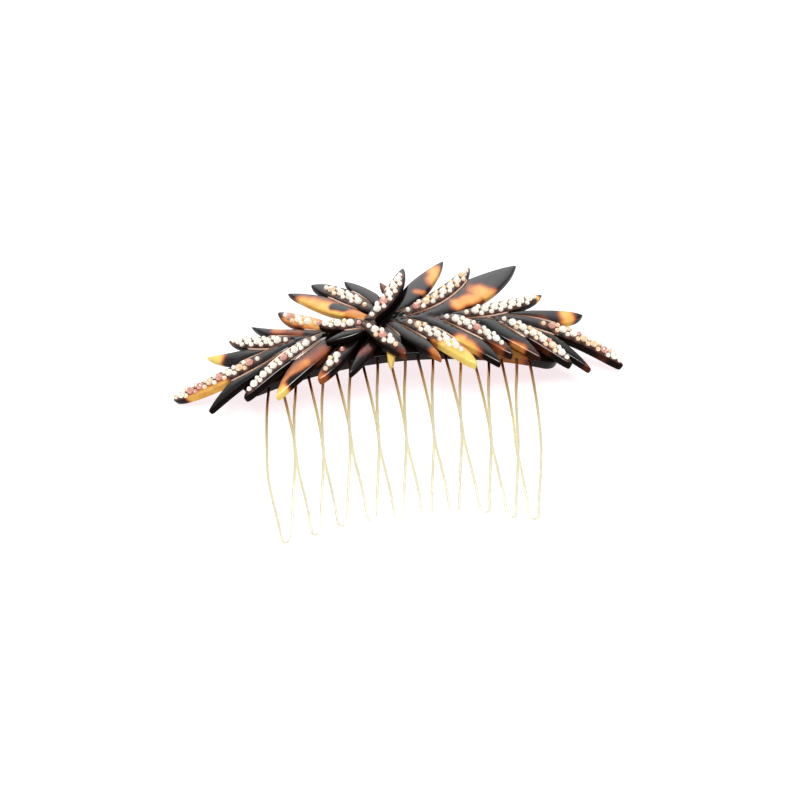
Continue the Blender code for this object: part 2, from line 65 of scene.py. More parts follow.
# Sizes shared with the CAD
HEAD_RADIUS = 92.0
BAR_LENGTH = 82.0
BAR_HEIGHT = 13.0
BAR_THICKNESS = 2.8
BAR_CORNER_RADIUS = 4.0
SHEET = 2.2
GEM_RISE = 0.25
SEAT_GAP = 0.2
SKIRT_START = 12.0
SKIRT_RADIUS = 120.0
LIP_START = 1.0
LIP_RADIUS = 50.0
BAR_TOP = BAR_THICKNESS / 2
SPRAY_BASE = BAR_TOP + SEAT_GAP
SPRIG_BASE = SPRAY_BASE + SHEET + GEM_RISE + SEAT_GAP
TOOTH_COUNT = 10
TOOTH_PITCH = 6.9
TOOTH_LENGTH = 44.6
TOOTH_DROOP = 10.4
TOOTH_EMBED = 6.0
LEFT_REACH = 5.8
RIGHT_REACH = 4.95
OUTER_HOLES = (-33.2, 32.2)
WIRE_RADIUS = 0.38
LEG_STAGGER = 0.45
TIP_BEND = 1.2
BOW_SHARES = (0.0, 0.12, 0.25, 0.42, 0.5, 0.58, 0.66, 0.75, 0.9)
LEFT_BOW = tuple(zip(BOW_SHARES, (0.0, 0.05, 0.1, 0.3, 0.58, 0.9, 0.95, 0.85, 0.85)))
RIGHT_BOW = tuple(zip(BOW_SHARES, (0.0, 0.2, 0.25, 0.68, 0.98, 1.25, 1.25, 1.15, 1.0)))
OUTER_SHARES = (0.0, 0.12, 0.25, 0.42, 0.58, 0.75, 0.9)
FIRST_LEG_BOW = tuple(zip(OUTER_SHARES, (0.0, 0.9, 1.6, 2.3, 2.8, 2.3, 1.5)))
LAST_LEG_BOW = tuple(zip(OUTER_SHARES, (0.0, 0.7, 1.35, 2.05, 2.35, 2.0, 1.3)))
TIP_DRIFT = (-0.6, -0.1, -0.4, 0.1, -0.2, -0.3, -0.4, 0.1, -0.4, -1.9)
TIP_REACH = (-0.3, 0.1, -0.4, -0.2, 0.1, 0.0, -0.3, -0.3, 0.5, 0.3)
PIN_RADIUS = 0.6
PIN_HEAD_RADIUS = 1.3
PIN_HEAD_HEIGHT = 0.5
PIN_BITE = 1.5
BIG_STONE = 2.05
SMALL_STONE = 1.3
BIG_STONE_HEIGHT = 1.1
SMALL_STONE_HEIGHT = 0.8
STONE_GAP = 0.08
LEAD_GAP = 0.5

# How far a tooth's outline runs as two bowed legs, and where its legs come level
LEG_SHARE = 0.9
LEVEL_FROM = 0.6
LEVEL_OVER = 0.25
LEG_STATIONS = 40

# Outlines of the leaflets
ROOT_WIDTH = 0.4  # width of a leaflet's root, as a share of its full width
BLUNT_TIP = (4.5, 0.65)  # powers that round a tip: higher and lower is blunter
POINTED_TIP = (2.6, 0.8)
POINTED_RISE = 1.5
POINTED_FULLNESS = 1.08

# Finer shape of the acetate than the CAD has
EDGE_STEP = 0.35  # spacing of the points along an outline
FINE_STEP = 0.1  # spacing of the points that distances are measured from
FILL_STEP = 0.5  # spacing of the points inside an outline
FILL_CLEAR = 0.25  # gap between those and the rows beside the outline
EDGE_ROWS = (0.05, 0.14, 0.28, 0.48)  # rows of points beside every outline
TOP_ROUND = 0.5  # rounding of a leaflet's upper edge
UNDER_ROUND = 0.75  # and of its lower edge
CROWN = 0.16  # how far a leaflet's middle stands above its edge
CROWN_REACH = 1.1
GROOVE_DEPTH = 0.13
GROOVE_REACH = 0.45
ROOT_FADE = (0.02, 0.16)  # share of a leaflet over which its groove deepens
ROOT_RISE = 0.08  # share of a leaflet with stones over which its top comes up
WELD = 0.01
SIDE_SHADE_REACH = 0.3  # how far the painted shade of a side wall reaches onto the top
BAR_ROUND = 0.45
BAR_ROWS = 12  # rows of points across the bar's height
BAR_END_THINNING = 0.3
BAR_END_REACH = 1.0
BAR_STEP = 1.0
BAR_END_STATIONS = (0.01, 0.06, 0.2, 0.5, 0.9, 1.4, 2.0, 2.7, 3.4, 4.0)  # distances from an end

# Copper lines
INLAY_RADIUS = 0.23
INLAY_SIDES = 8
INLAY_STEP = 0.25
INLAY_SINK = 0.07
INLAY_FROM_RIM = 0.3  # a line stops this far from the sheet's edge
INLAY_SHORTEST = 6  # points in the shortest line worth drawing

# Stones
STONE_SINK = 0.05
STONE_TILT = 5.0  # degrees
TABLE_SIDES = 8
GIRDLE_SIDES = 16
BED_REACH = 1.45  # how far the brown bed reaches from the middle of a stone
BED_EDGE = 0.5

WIRE_SIDES = 14
PIN_SIDES = 32

# Clouds of the tortoiseshell, as shares of a patch's width
PATCH_WANDER = 0.14  # how far a patch's edge wanders
PATCH_WAVES = ((1.0, 0.35, 0), (0.3, 0.9, 9))  # strength, waves per mm and layer of the wandering
PATCH_REACH = 0.95
PATCH_SOFTNESS = 0.8

# Studio, in metres and degrees
FLOOR_GAP = 0.0002
FLOOR_REACH = 1.5
LIGHT_STRETCH = (0.75, 1.0, 1.0)  # the sky's bright lobe is a strip, long from left to right
LIGHT_FROM = (0.0, 0.87, 0.493)
LIGHT_EDGE = (0.85, 0.985)
SKY_DARK = (0.32, 0.315, 0.32, 1)
SKY_BRIGHT = (2.0, 2.0, 2.0, 1)
SUN_FROM = (0.05, -0.35, 0.94)
SUN_COLOUR = (0.98, 1.0, 0.985)
SUN_ENERGY = 2.5
SUN_ANGLE = 28
CAMERA_ROLL = 5.4
CAMERA_ELEVATION = 45
CAMERA_DISTANCE = 1.3889
CAMERA_LENS = 251
CAMERA_SENSOR = 36
CAMERA_SHIFT = (-0.000125, 0.0104)  # of the bar's middle in the frame, to the right and up

# One leaflet of a sheet: its root and tip in (p, q), its width, how far its middle bows to the left
# of the line from root to tip, the share of its length that carries stones, the distance between its
# big stones, the share of its length at which it is widest, and whether its tip is blunt although it
# carries no stones.
LEAF_FIELDS = "name root tip width bow stones pitch peak blunt"
Leaf = namedtuple("Leaf", LEAF_FIELDS, defaults=(None, 2.9, 0.5, False))

RIGHT_SPRAY = (
    Leaf("upper_0", (-4.4, 10.6), (3.4, 20.2), 3.4, 0.3),
    Leaf("upper_1", (-2.4, 11.2), (13.4, 32.5), 6.2, -0.8, peak=0.62),
    Leaf("upper_3", (6.0, 10.5), (32.4, 33.2), 9.3, -1.8, peak=0.6),
    Leaf("upper_5", (24.0, 10.5), (49.4, 18.3), 5.8, -1.3, blunt=True),
    Leaf("lower_back", (-3.5, 8.5), (-12.9, -6.2), 3.8, 0.3),
    Leaf("lower_0", (-1.0, 9.5), (-2.4, -5.6), 2.5, 0.0, blunt=True),
    Leaf("lower_short", (-3.6, 9.6), (0.9, 1.8), 3.6, 0.0),
    Leaf("lower_1", (-2.5, 10.0), (10.5, -4.3), 4.3, 0.5),
    Leaf("lower_3", (7.6, 9.4), (25.4, -5.2), 5.8, 1.3),
    Leaf("lower_5", (20.0, 10.3), (36.1, -1.5), 5.3, 1.2),
    Leaf("lower_7", (28.5, 11.0), (49.9, -1.2), 4.4, 1.2),
    Leaf("upper_2", (0.0, 11.3), (19.9, 29.7), 4.6, -2.9, (0.12, 0.93)),
    Leaf("upper_4", (13.0, 10.4), (38.3, 22.0), 4.3, -1.9, (0.17, 0.94), 2.65),
    Leaf("lower_2", (0.5, 10.0), (19.1, -6.1), 4.8, 1.1, (0.14, 0.82)),
    Leaf("lower_4", (11.0, 10.2), (28.6, -2.0), 4.5, 1.7, (0.08, 0.88)),
    Leaf("lower_6", (25.0, 10.8), (44.4, -1.5), 4.4, 1.2, (0.1, 0.92)),
    Leaf("end", (26.0, 11.0), (59.7, 4.3), 4.6, 2.0, (0.33, 0.94)),
)
LEFT_SPRAY = (
    Leaf("upper_2", (-3.4, 16.1), (-12.2, 27.5), 4.1, 0.0, peak=0.3),
    Leaf("upper_4", (-7.5, 12.2), (-27.1, 28.3), 5.3, 0.2),
    Leaf("upper_6", (-16.5, 9.8), (-37.6, 20.3), 4.0, 2.6),
    Leaf("upper_8", (-24.5, 9.0), (-51.2, 16.8), 5.3, 2.9),
    Leaf("lower_1", (-22.0, 9.0), (-51.4, -2.4), 5.4, -1.9),
    Leaf("lower_3", (-13.0, 9.0), (-32.2, -7.3), 6.7, -1.2),
    Leaf("upper_3", (-5.1, 13.5), (-20.7, 28.7), 4.9, -0.6, (0.16, 0.85), 3.0),
    Leaf("upper_5", (-15.0, 10.5), (-29.9, 21.6), 4.3, 1.2, (0.3, 0.93)),
    Leaf("upper_7", (-22.0, 8.6), (-44.0, 18.1), 4.3, 1.4, (0.26, 0.93)),
    Leaf("lower_2", (-17.0, 9.0), (-40.8, -3.8), 4.7, -1.3, (0.15, 0.94), 3.3),
    Leaf("lower_4", (-8.4, 8.5), (-20.8, -6.0), 4.6, 0.2, (0.46, 0.93)),
    Leaf("end", (-26.0, 9.3), (-62.0, 8.5), 5.0, 2.6, (0.28, 0.945)),
)
CENTRE_SPRIG = (
    Leaf("back_small", (-0.4, 15.5), (-3.2, 22.0), 2.2, 0.0),
    Leaf("lower_left", (-6.0, 6.8), (-18.2, 3.6), 3.4, 0.1),
    Leaf("up", (-8.0, 7.2), (3.0, 26.4), 4.2, -1.6, (0.14, 0.88)),
    Leaf("left", (-6.5, 6.8), (-19.5, 10.0), 3.8, 0.3, (0.2, 0.93), 3.2),
    Leaf("lower_right", (-8.5, 7.7), (1.8, -5.0), 4.0, 0.1, (0.16, 0.8)),
)
RIGHT_STALK = ((-7.0, 9.4, 5.4), (34.0, 10.3, 1.6))
LEFT_STALK = ((-7.5, 10.4, 4.8), (-34.0, 9.0, 1.8))
SPRIG_STALK = ((-11.0, 7.0, 2.2), (-5.0, 7.6, 4.0))

PINS = {
    "pin_right_outer": (22.0, 10.4, SPRAY_BASE),
    "pin_left_outer": (-24.0, 9.2, SPRAY_BASE),
    "pin_centre_right": (-5.9, 8.2, SPRIG_BASE),
    "pin_centre_left": (-11.2, 8.5, SPRIG_BASE),
}

# Light patches of the tortoiseshell on each leaflet: (one end, the other end, width, how light).
# 1 is honey yellow, 0 is the near-black ground, and a negative patch is a dark spot in a light one.
RIGHT_PATCHES = {
    "upper_1": (((11.0, 27.8), (10.8, 22.8), 4.2, 0.78), ((5.7, 19.7), (8.4, 18.8), 2.0, 0.62)),
    "upper_2": (((17.7, 27.0), (19.3, 29.2), 1.8, 0.6),),
    "upper_3": (((15.9, 15.0), (20.6, 17.5), 4.2, 0.8), ((21.8, 19.9), (24.3, 19.1), 5.5, 0.8)),
    "upper_4": (((36.3, 20.7), (37.6, 19.9), 1.6, 0.9),),
    "upper_5": (((44.4, 17.5), (44.9, 12.9), 4.2, 0.85), ((28.8, 9.9), (38.2, 13.0), 3.0, 0.34)),
    "lower_0": (((-2.2, -0.8), (-2.3, -6.6), 3.2, 0.92),),
    "lower_1": (((8.8, -2.0), (10.5, -5.6), 3.0, 0.6),),
    "lower_back": (((-11.8, -0.7), (-7.6, 0.8), 3.0, 0.33),),
    "lower_2": (((11.9, -0.7), (19.5, -6.8), 6.0, 0.97), ((9.0, 0.8), (11.9, -0.7), 3.0, 0.62)),
    "lower_3": (((15.4, 1.4), (17.8, -1.8), 4.8, 0.86),),
    "lower_4": (((21.5, 0.4), (25.5, -0.5), 3.0, 0.5), ((25.5, -1.2), (27.9, -2.7), 3.0, 0.24)),
    "lower_5": (((29.2, 1.7), (31.2, 0.9), 3.0, 0.68), ((33.5, -0.5), (35.8, -2.5), 3.0, 0.26)),
    "lower_6": (((34.5, 2.5), (37.6, 0.8), 3.0, 0.36),),
    "lower_7": (((48.6, -0.9), (49.6, -1.8), 2.2, 0.36),),
    "end": (((52.7, 6.2), (54.6, 4.8), 2.0, 0.34),),
}
LEFT_PATCHES = {
    "upper_4": (
        ((-23.7, 23.1), (-14.0, 15.4), 4.8, 0.88),
        ((-14.0, 15.4), (-8.0, 12.4), 4.4, 0.66),
        ((-15.3, 18.0), (-12.8, 16.5), 1.8, -1.0),
    ),
    "upper_5": (((-26.6, 18.2), (-19.7, 12.3), 4.6, 0.8),),
    "upper_6": (((-31.1, 15.4), (-29.0, 14.2), 2.4, 0.55), ((-29.0, 14.2), (-24.5, 11.6), 2.4, 0.4)),
    "upper_7": (((-43.9, 16.5), (-42.8, 16.2), 2.0, 0.35),),
    "upper_8": (((-51.9, 17.0), (-47.9, 14.1), 5.0, 1.0),),
    "end": (((-56.9, 4.9), (-46.1, 3.5), 3.4, 0.82),),
    "lower_3": (
        ((-19.5, 3.0), (-23.5, 0.2), 4.6, 0.47),
        ((-24.0, -0.3), (-29.0, -4.2), 4.8, 0.65),
        ((-32.8, -7.7), (-28.4, -6.5), 5.6, 0.95),
        ((-27.0, -4.6), (-22.0, -2.8), 3.0, -0.9),
    ),
    "lower_4": (((-21.8, -3.7), (-18.9, -6.5), 3.4, 0.56),),
}
SPRIG_PATCHES = {
    "back_small": (((-2.8, 21.3), (-1.5, 18.4), 3.0, 0.36),),
    "lower_right": (((0.5, -3.7), (1.4, -5.6), 2.0, 0.4),),
    "left": (((-17.1, 8.7), (-15.0, 9.5), 2.0, 0.3),),
}
BAR_PATCHES = (((22.5, 1.0), (30.0, 1.2), 4.5, 0.6),)

# Share of the stones of a row that are champagne or rose; a few of them elsewhere
FEW_TINTED = 0.04
BIG_ROSE = 0.4  # how many of the tinted stones are rose
SMALL_ROSE = 0.15
TINTED_ROWS = {
    "right_spray_upper_2": 0.45,
    "right_spray_end": 0.6,
    "right_spray_lower_6": 0.25,
    "left_spray_upper_5": 0.7,
    "left_spray_end": 0.6,
    "left_spray_upper_3": 0.15,
    "left_spray_lower_4": 0.45,
    "centre_sprig_left": 0.65,
    "centre_sprig_lower_right": 0.35,
}


# ---------------------------------------------------------------- shape helpers


def on_bar(p, q, h):
    """The places in metres of points (p, q, h) of the bar or of something square to it."""
    p, q, h = np.broadcast_arrays(p, q, h)
    r = HEAD_RADIUS + h
    angle = p / HEAD_RADIUS
    return MM * np.stack([r * np.sin(angle), q - BAR_HEIGHT, r * np.cos(angle) - HEAD_RADIUS], axis=-1)


def on_sheet(p, q, h, flat_radius):
    """As on_bar, for a sheet: p is true length at flat_radius, and top and bottom bend down."""
    at = on_bar(np.asarray(p) * HEAD_RADIUS / flat_radius, q, h)
    skirt = np.maximum(np.asarray(q) - SKIRT_START, 0.0) ** 2 / (2 * SKIRT_RADIUS)
    lip = np.maximum(LIP_START - np.asarray(q), 0.0) ** 2 / (2 * LIP_RADIUS)
    at[..., 2] -= MM * (skirt + lip)
    return at


def smooth(x):
    """Eases from 0 at x = 0 to 1 at x = 1."""
    x = np.clip(x, 0.0, 1.0)
    return x * x * (3 - 2 * x)


def centreline(leaf, t):
    """Points and unit directions of a leaflet's centreline at shares t of its length."""
    root, tip = np.array(leaf.root), np.array(leaf.tip)
    chord = tip - root
    left = np.array([-chord[1], chord[0]]) / np.linalg.norm(chord)
    middle = (root + tip) / 2 + 2 * leaf.bow * left
    t = np.asarray(t, float)[..., None]
    point = (1 - t) ** 2 * root + 2 * t * (1 - t) * middle + t**2 * tip
    direction = (1 - t) * (middle - root) + t * (tip - middle)
    return point, direction / np.linalg.norm(direction, axis=-1, keepdims=True)


def leaf_half_width(leaf, t):
    """Half-width of a leaflet: narrow at the root, and blunter at the tip if it has stones."""
    rise = np.sin(np.minimum(t / leaf.peak, 1.0) * math.pi / 2)
    if leaf.stones or leaf.blunt:
        full = 1.0
        inner, outer = BLUNT_TIP
    else:
        rise = rise**POINTED_RISE
        full = POINTED_FULLNESS
        inner, outer = POINTED_TIP
    return leaf.width / 2 * (ROOT_WIDTH + (1 - ROOT_WIDTH) * rise) * full * (1 - t**inner) ** outer


def resampled(loop, step):
    """A closed loop with evenly spaced points."""
    closed = np.vstack([loop, loop[:1]])
    lengths = np.linalg.norm(np.diff(closed, axis=0), axis=1)
    along = np.concatenate([[0.0], np.cumsum(lengths)])
    wanted = np.linspace(0, along[-1], max(8, round(along[-1] / step)), endpoint=False)
    return np.stack([np.interp(wanted, along, closed[:, k]) for k in (0, 1)], axis=1)


def leaf_outline(leaf, step=EDGE_STEP):
    """A leaflet's outline, up its right side, round the tip and back along its left."""
    t = 1 - (1 - np.linspace(0, 1, 300)) ** 1.6
    point, direction = centreline(leaf, t)
    across = np.stack([direction[:, 1], -direction[:, 0]], axis=1)
    across *= leaf_half_width(leaf, t)[:, None]
    return resampled(np.vstack([point + across, (point - across)[-2::-1]]), step)


def stalk_outline(stalk):
    """A tapered bar from one end to the other."""
    (p0, q0, wide), (p1, q1, narrow) = stalk
    left = np.array([q0 - q1, p1 - p0])
    left = left / np.linalg.norm(left)
    start, end = np.array([p0, q0]), np.array([p1, q1])
    corners = [
        start - left * wide / 2,
        end - left * narrow / 2,
        end + left * narrow / 2,
        start + left * wide / 2,
    ]
    return resampled(np.array(corners), EDGE_STEP)


def holds(outline, points):
    """Which of the points lie inside a closed outline."""
    inside = np.zeros(len(points), bool)
    x, y = points[:, 0], points[:, 1]
    for (ax, ay), (bx, by) in zip(outline, np.roll(outline, -1, axis=0)):
        if ay != by:
            inside ^= ((ay > y) != (by > y)) & (x < ax + (y - ay) / (by - ay) * (bx - ax))
    return inside


def tree_of(points):
    """A search tree over flat points."""
    tree = kdtree.KDTree(len(points))
    for k, (x, y) in enumerate(points):
        tree.insert((x, y, 0.0), k)
    tree.balance()
    return tree


def distances(tree, points):
    """The distance from each flat point to the tree's nearest point."""
    return np.array([tree.find((x, y, 0.0))[2] for x, y in points])


def along_edges(points, edges, step=0.07):
    """Closely spaced points along edges given as pairs of point numbers."""
    a, b = points[edges[:, 0]], points[edges[:, 1]]
    count = int(math.ceil(np.linalg.norm(b - a, axis=1).max() / step)) + 1
    shares = np.linspace(0, 1, count)[:, None, None]
    return (a + (b - a) * shares).reshape(-1, 2)


def owners_of(points, outlines):
    """The last outline that holds each point, or -1."""
    owner = np.full(len(points), -1)
    for k, outline in enumerate(outlines):
        owner[holds(outline, points)] = k
    return owner


def new_object(name, vertices, faces, finishes, smooth_shaded=True):
    """A scene object from plain lists or arrays."""
    mesh = bpy.data.meshes.new(name)
    mesh.from_pydata([tuple(v) for v in vertices], [], [tuple(int(i) for i in f) for f in faces])
    mesh.validate()
    if smooth_shaded:
        mesh.shade_smooth()
    for finish in finishes:
        mesh.materials.append(finish)
    made = bpy.data.objects.new(name, mesh)
    bpy.context.scene.collection.objects.link(made)
    return made


def rings_joined(rings, count, start=0):
    """Faces between rings of points that follow each other."""
    faces = []
    for low in range(start, start + (rings - 1) * count, count):
        high = low + count
        for m in range(count):
            n = (m + 1) % count
            faces.append((low + m, high + m, high + n, low + n))
    return faces


def set_attribute(made, name, values):
    """A number on every vertex, for the materials to read."""
    made.data.attributes.new(name, "FLOAT", "POINT").data.foreach_set("value", np.asarray(values, float))


def settle(made, slot, *nodes):
    """Ties a finished piece to the frame."""
    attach(made, "root")
    if nodes:
        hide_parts(*nodes)


# ---------------------------------------------------------------- acetate sheets


def lightness(points, patches, seed):
    """How light the tortoiseshell is at each flat point, from its patches."""
    value = np.zeros(len(points))
    wander = np.zeros(len(points))
    for strength, often, layer in PATCH_WAVES:
        places = [Vector((x * often, y * often, seed + layer)) for x, y in points]
        wander += strength * np.array([noise.noise(place) for place in places])
    for start, end, width, level in patches:
        start, end = np.array(start), np.array(end)
        share = np.clip((points - start) @ (end - start) / max(1e-9, (end - start) @ (end - start)), 0, 1)
        away = np.linalg.norm(points - start - share[:, None] * (end - start), axis=1)
        away += PATCH_WANDER * width * wander
        cover = smooth((PATCH_REACH * width - away) / (PATCH_SOFTNESS * width))
        if level > 0:
            value = np.maximum(value, level * cover)
        else:
            value = np.maximum(value + level * cover, 0.0)
    return value


def plan_points(outlines):
    """Points beside the outlines and between them, that let a sheet round its edges and bend."""
    fine = np.vstack([resampled(outline, FINE_STEP) for outline in outlines])
    near = tree_of(fine)
    loose = []
    for outline in outlines:
        ahead = np.roll(outline, -1, axis=0) - np.roll(outline, 1, axis=0)
        normal = np.stack([-ahead[:, 1], ahead[:, 0]], axis=1)
        normal /= np.linalg.norm(normal, axis=1, keepdims=True)
        for row in EDGE_ROWS:
            for side in (-1, 1):
                points = outline + side * row * normal
                points = points[owners_of(points, outlines) >= 0]
                loose.append(points[distances(near, points) > 0.85 * row])
    low, high = fine.min(axis=0), fine.max(axis=0)
    rise = FILL_STEP * math.sqrt(3) / 2
    grid = []
    for j in range(int((high[1] - low[1]) / rise) + 2):
        xs = np.arange(low[0] + (j % 2) * FILL_STEP / 2, high[0], FILL_STEP)
        grid.append(np.stack([xs, np.full(len(xs), low[1] + j * rise)], axis=1))
    grid = np.vstack(grid)
    grid = grid[owners_of(grid, outlines) >= 0]
    loose.append(grid[distances(near, grid) > EDGE_ROWS[-1] + FILL_CLEAR])
    return np.vstack(loose)


Plan = namedtuple("Plan", "points faces owner outer inner fade")


def make_plan(outlines, leaves):
    """Triangulates a sheet in the flat and finds its outer edges and the lines between leaflets."""
    corners, edges = [], []
    for outline in outlines:
        first = len(corners)
        corners += [Vector(point) for point in outline]
        count = len(outline)
        edges += [(first + k, first + (k + 1) % count) for k in range(count)]
    corners += [Vector(point) for point in plan_points(outlines)]
    found, _, faces, *_ = delaunay_2d_cdt(corners, edges, [], 0, WELD)
    points = np.array([tuple(point) for point in found])
    faces = np.array([face for face in faces if len(face) == 3])
    owner = owners_of(points[faces].mean(axis=1), outlines)
    faces, owner = faces[owner >= 0], owner[owner >= 0]

    sides = {}
    for k, face in enumerate(faces):
        for a, b in ((face[0], face[1]), (face[1], face[2]), (face[2], face[0])):
            sides.setdefault((min(a, b), max(a, b)), []).append((k, a, b))
    outer = np.array([found[0][1:] for found in sides.values() if len(found) == 1])
    inner, fade = [], []
    for (a, b), found in sides.items():
        if len(found) == 2 and owner[found[0][0]] != owner[found[1][0]]:
            leaf = leaves[max(owner[found[0][0]], owner[found[1][0]]) - 1]
            strength = root_fade(leaf, (points[a] + points[b]) / 2)
            if strength > 0:
                inner.append((a, b))
                fade.append(strength)
    return Plan(points, faces, owner, outer, np.array(inner), np.array(fade))


def share_along(leaf, points):
    """How far along a leaflet points lie: 0 at its root, 1 at its tip."""
    chord = np.array(leaf.tip) - np.array(leaf.root)
    return (points - np.array(leaf.root)) @ chord / (chord @ chord)


def root_fade(leaf, point):
    """How deep the groove round a leaflet is at a point of its outline, from 0 at the root to 1."""
    return float(smooth((share_along(leaf, point) - ROOT_FADE[0]) / (ROOT_FADE[1] - ROOT_FADE[0])))


def edge_drop(away, radius):
    """How far a rounded edge lies below the flat at a distance from the outline."""
    inside = np.clip(radius - away, 0.0, radius)
    return radius - np.sqrt(np.maximum(radius**2 - inside**2, 0.0))


def make_sheet(name, stalk, leaves, base, patches, finish, seed):
    """A spray: stalk and leaflets in one sheet with rounded edges and grooves between leaflets."""
    outlines = [stalk_outline(stalk)] + [leaf_outline(leaf) for leaf in leaves]
    plan = make_plan(outlines, leaves)
    points, faces = plan.points, plan.faces
    flat_radius = HEAD_RADIUS + base + SHEET

    owner = np.full(len(points), -1)
    for face, region in zip(faces, plan.owner):
        owner[face] = np.maximum(owner[face], region)
    rim = tree_of(along_edges(points, plan.outer))
    from_rim = distances(rim, points)
    inner_points = along_edges(points, plan.inner)
    shares = np.tile(plan.fade, len(inner_points) // len(plan.fade))
    lines = tree_of(inner_points)
    nearest = [lines.find((x, y, 0.0)) for x, y in points]
    from_line = np.array([hit[2] for hit in nearest])
    strength = shares[[hit[1] for hit in nearest]]

    raised = np.zeros(len(points))
    for k, leaf in enumerate(leaves):
        if leaf.stones:
            mine = owner == k + 1
            raised[mine] = smooth(share_along(leaf, points[mine]) / ROOT_RISE)
    away = np.minimum(from_rim, from_line)
    top = SHEET + CROWN * (1 - np.exp(-((away / CROWN_REACH) ** 2)))
    top += GEM_RISE * raised * smooth(from_line / GROOVE_REACH)
    top -= GROOVE_DEPTH * strength * (1 - smooth(from_line / GROOVE_REACH))
    top -= edge_drop(from_rim, TOP_ROUND)
    under = edge_drop(from_rim, UNDER_ROUND)

    light = np.zeros(len(points))
    for k, leaf in enumerate(leaves):
        mine = owner == k + 1
        if leaf.name in patches:
            light[mine] = lightness(points[mine], patches[leaf.name], seed)
    # Painted shade: side walls and the rim of the top get a darker colour in the finish, standing for the
    # shade they lie in.
    side = 1 - smooth(from_rim / SIDE_SHADE_REACH)
    seats = [centre for leaf in leaves if leaf.stones for centre, _, _ in stone_row(leaf)]
    bed = smooth((BED_REACH - distances(tree_of(np.array(seats)), points)) / BED_EDGE) * (1 - side)

    used = np.zeros(len(points), bool)
    used[faces] = True
    number = np.cumsum(used) - 1
    count = used.sum()
    p, q = points[used].T
    upper = on_sheet(p, q, base + top[used], flat_radius)
    lower = on_sheet(p, q, base + under[used], flat_radius)
    top_faces = number[faces]
    walls = []
    for a, b in plan.outer:
        a, b = number[a], number[b]
        walls.append((b, a, a + count, b + count))
    all_faces = [*top_faces, *(top_faces[:, ::-1] + count), *walls]
    made = new_object(name, np.vstack([upper, lower]), all_faces, [finish])
    set_attribute(made, "light", np.tile(light[used], 2))
    # The underside is marked as side all over, so it gets the painted shade too.
    set_attribute(made, "side", np.concatenate([side[used], np.ones(count)]))
    set_attribute(made, "bed", np.concatenate([bed[used], np.zeros(count)]))
    print(name, count, "points")
    return made, outlines, rim


def swept(paths, sides):
    """Round tubes with closed ends along paths, each a (points, radii) pair of arrays."""
    vertices, faces = [], []
    start = 0
    for path, radii in paths:
        ahead = np.gradient(path, axis=0)
        ahead /= np.linalg.norm(ahead, axis=1, keepdims=True)
        up = np.array([0.0, 0.0, 1.0])
        for point, along, radius in zip(path, ahead, radii):
            up = up - along * (up @ along)
            up /= np.linalg.norm(up)
            across = np.cross(along, up)
            angles = np.arange(sides) * 2 * math.pi / sides
            ring = point + radius * (np.cos(angles)[:, None] * up + np.sin(angles)[:, None] * across)
            vertices.append(ring)
        faces += rings_joined(len(path), sides, start)
        faces.append(tuple(range(start, start + sides)))
        last = start + (len(path) - 1) * sides
        faces.append(tuple(range(last + sides - 1, last - 1, -1)))
        start = last + sides
    return np.vstack(vertices), faces


def make_inlay(name, leaves, outlines, rim, base, finish):
    """The copper lines set in the grooves between the leaflets of a sheet."""
    flat_radius = HEAD_RADIUS + base + SHEET
    paths, tipward_brightness = [], []
    for k, leaf in enumerate(leaves):
        outline = leaf_outline(leaf, INLAY_STEP)
        below = owners_of(outline, outlines[: k + 1]) >= 0
        covered = owners_of(outline, outlines[k + 2 :]) >= 0
        fade = np.array([root_fade(leaf, point) for point in outline])
        from_rim = distances(rim, outline)
        keep = below & ~covered & (fade > 0.02) & (from_rim > INLAY_FROM_RIM)
        start = int(np.argmin(keep))
        order = np.roll(np.arange(len(outline)), -start)
        run = []
        for place in [*order, None]:
            if place is not None and keep[place]:
                run.append(place)
                continue
            if len(run) >= INLAY_SHORTEST:
                at = outline[run]
                height = base + SHEET - INLAY_SINK - edge_drop(from_rim[run], TOP_ROUND)
                thick = INLAY_RADIUS * (0.4 + 0.6 * fade[run])
                ends = np.minimum(np.arange(len(run)), np.arange(len(run))[::-1])
                thick *= 0.5 + 0.5 * smooth(ends / 3)
                paths.append((on_sheet(at[:, 0], at[:, 1], height, flat_radius), thick * MM))
                # Lines are brighter towards the leaflets' tips and browner towards their roots.
                bright = 0.15 + 0.85 * smooth((share_along(leaf, at) - 0.1) / 0.4)
                tipward_brightness.append(np.repeat(bright, INLAY_SIDES))
            run = []
    vertices, faces = swept(paths, INLAY_SIDES)
    made = new_object(name, vertices, faces, [finish])
    set_attribute(made, "tipward_brightness", np.concatenate(tipward_brightness))
    settle(made, "gold_wire")


# ---------------------------------------------------------------- stones


def stone_row(leaf):
    """Stones of a leaflet as (point, diameter, height): a small one leads, big ones follow with a
    pair of small ones beside each gap between them, and another small one ends the row."""
    start, end = leaf.stones
    length = float(np.linalg.norm(np.array(leaf.tip) - np.array(leaf.root)))
    touch = (BIG_STONE + SMALL_STONE) / 2 + STONE_GAP
    aside = math.sqrt(max(touch**2 - (leaf.pitch / 2) ** 2, ((SMALL_STONE + STONE_GAP) / 2) ** 2))
    place = start * length
    stones = [(place, 0.0, SMALL_STONE, SMALL_STONE_HEIGHT)]
    place += touch + LEAD_GAP
    while place + BIG_STONE / 2 <= end * length:
        stones.append((place, 0.0, BIG_STONE, BIG_STONE_HEIGHT))
        for side in (-aside, aside):
            stones.append((place + leaf.pitch / 2, side, SMALL_STONE, SMALL_STONE_HEIGHT))
        place += leaf.pitch
    del stones[-2:]
    stones.append((place - leaf.pitch + touch, 0.0, SMALL_STONE, SMALL_STONE_HEIGHT))
    placed = []
    for along, offset, diameter, height in stones:
        point, direction = centreline(leaf, along / length)
        left = np.array([-direction[1], direction[0]])
        placed.append((point + left * offset, diameter, height))
    return placed


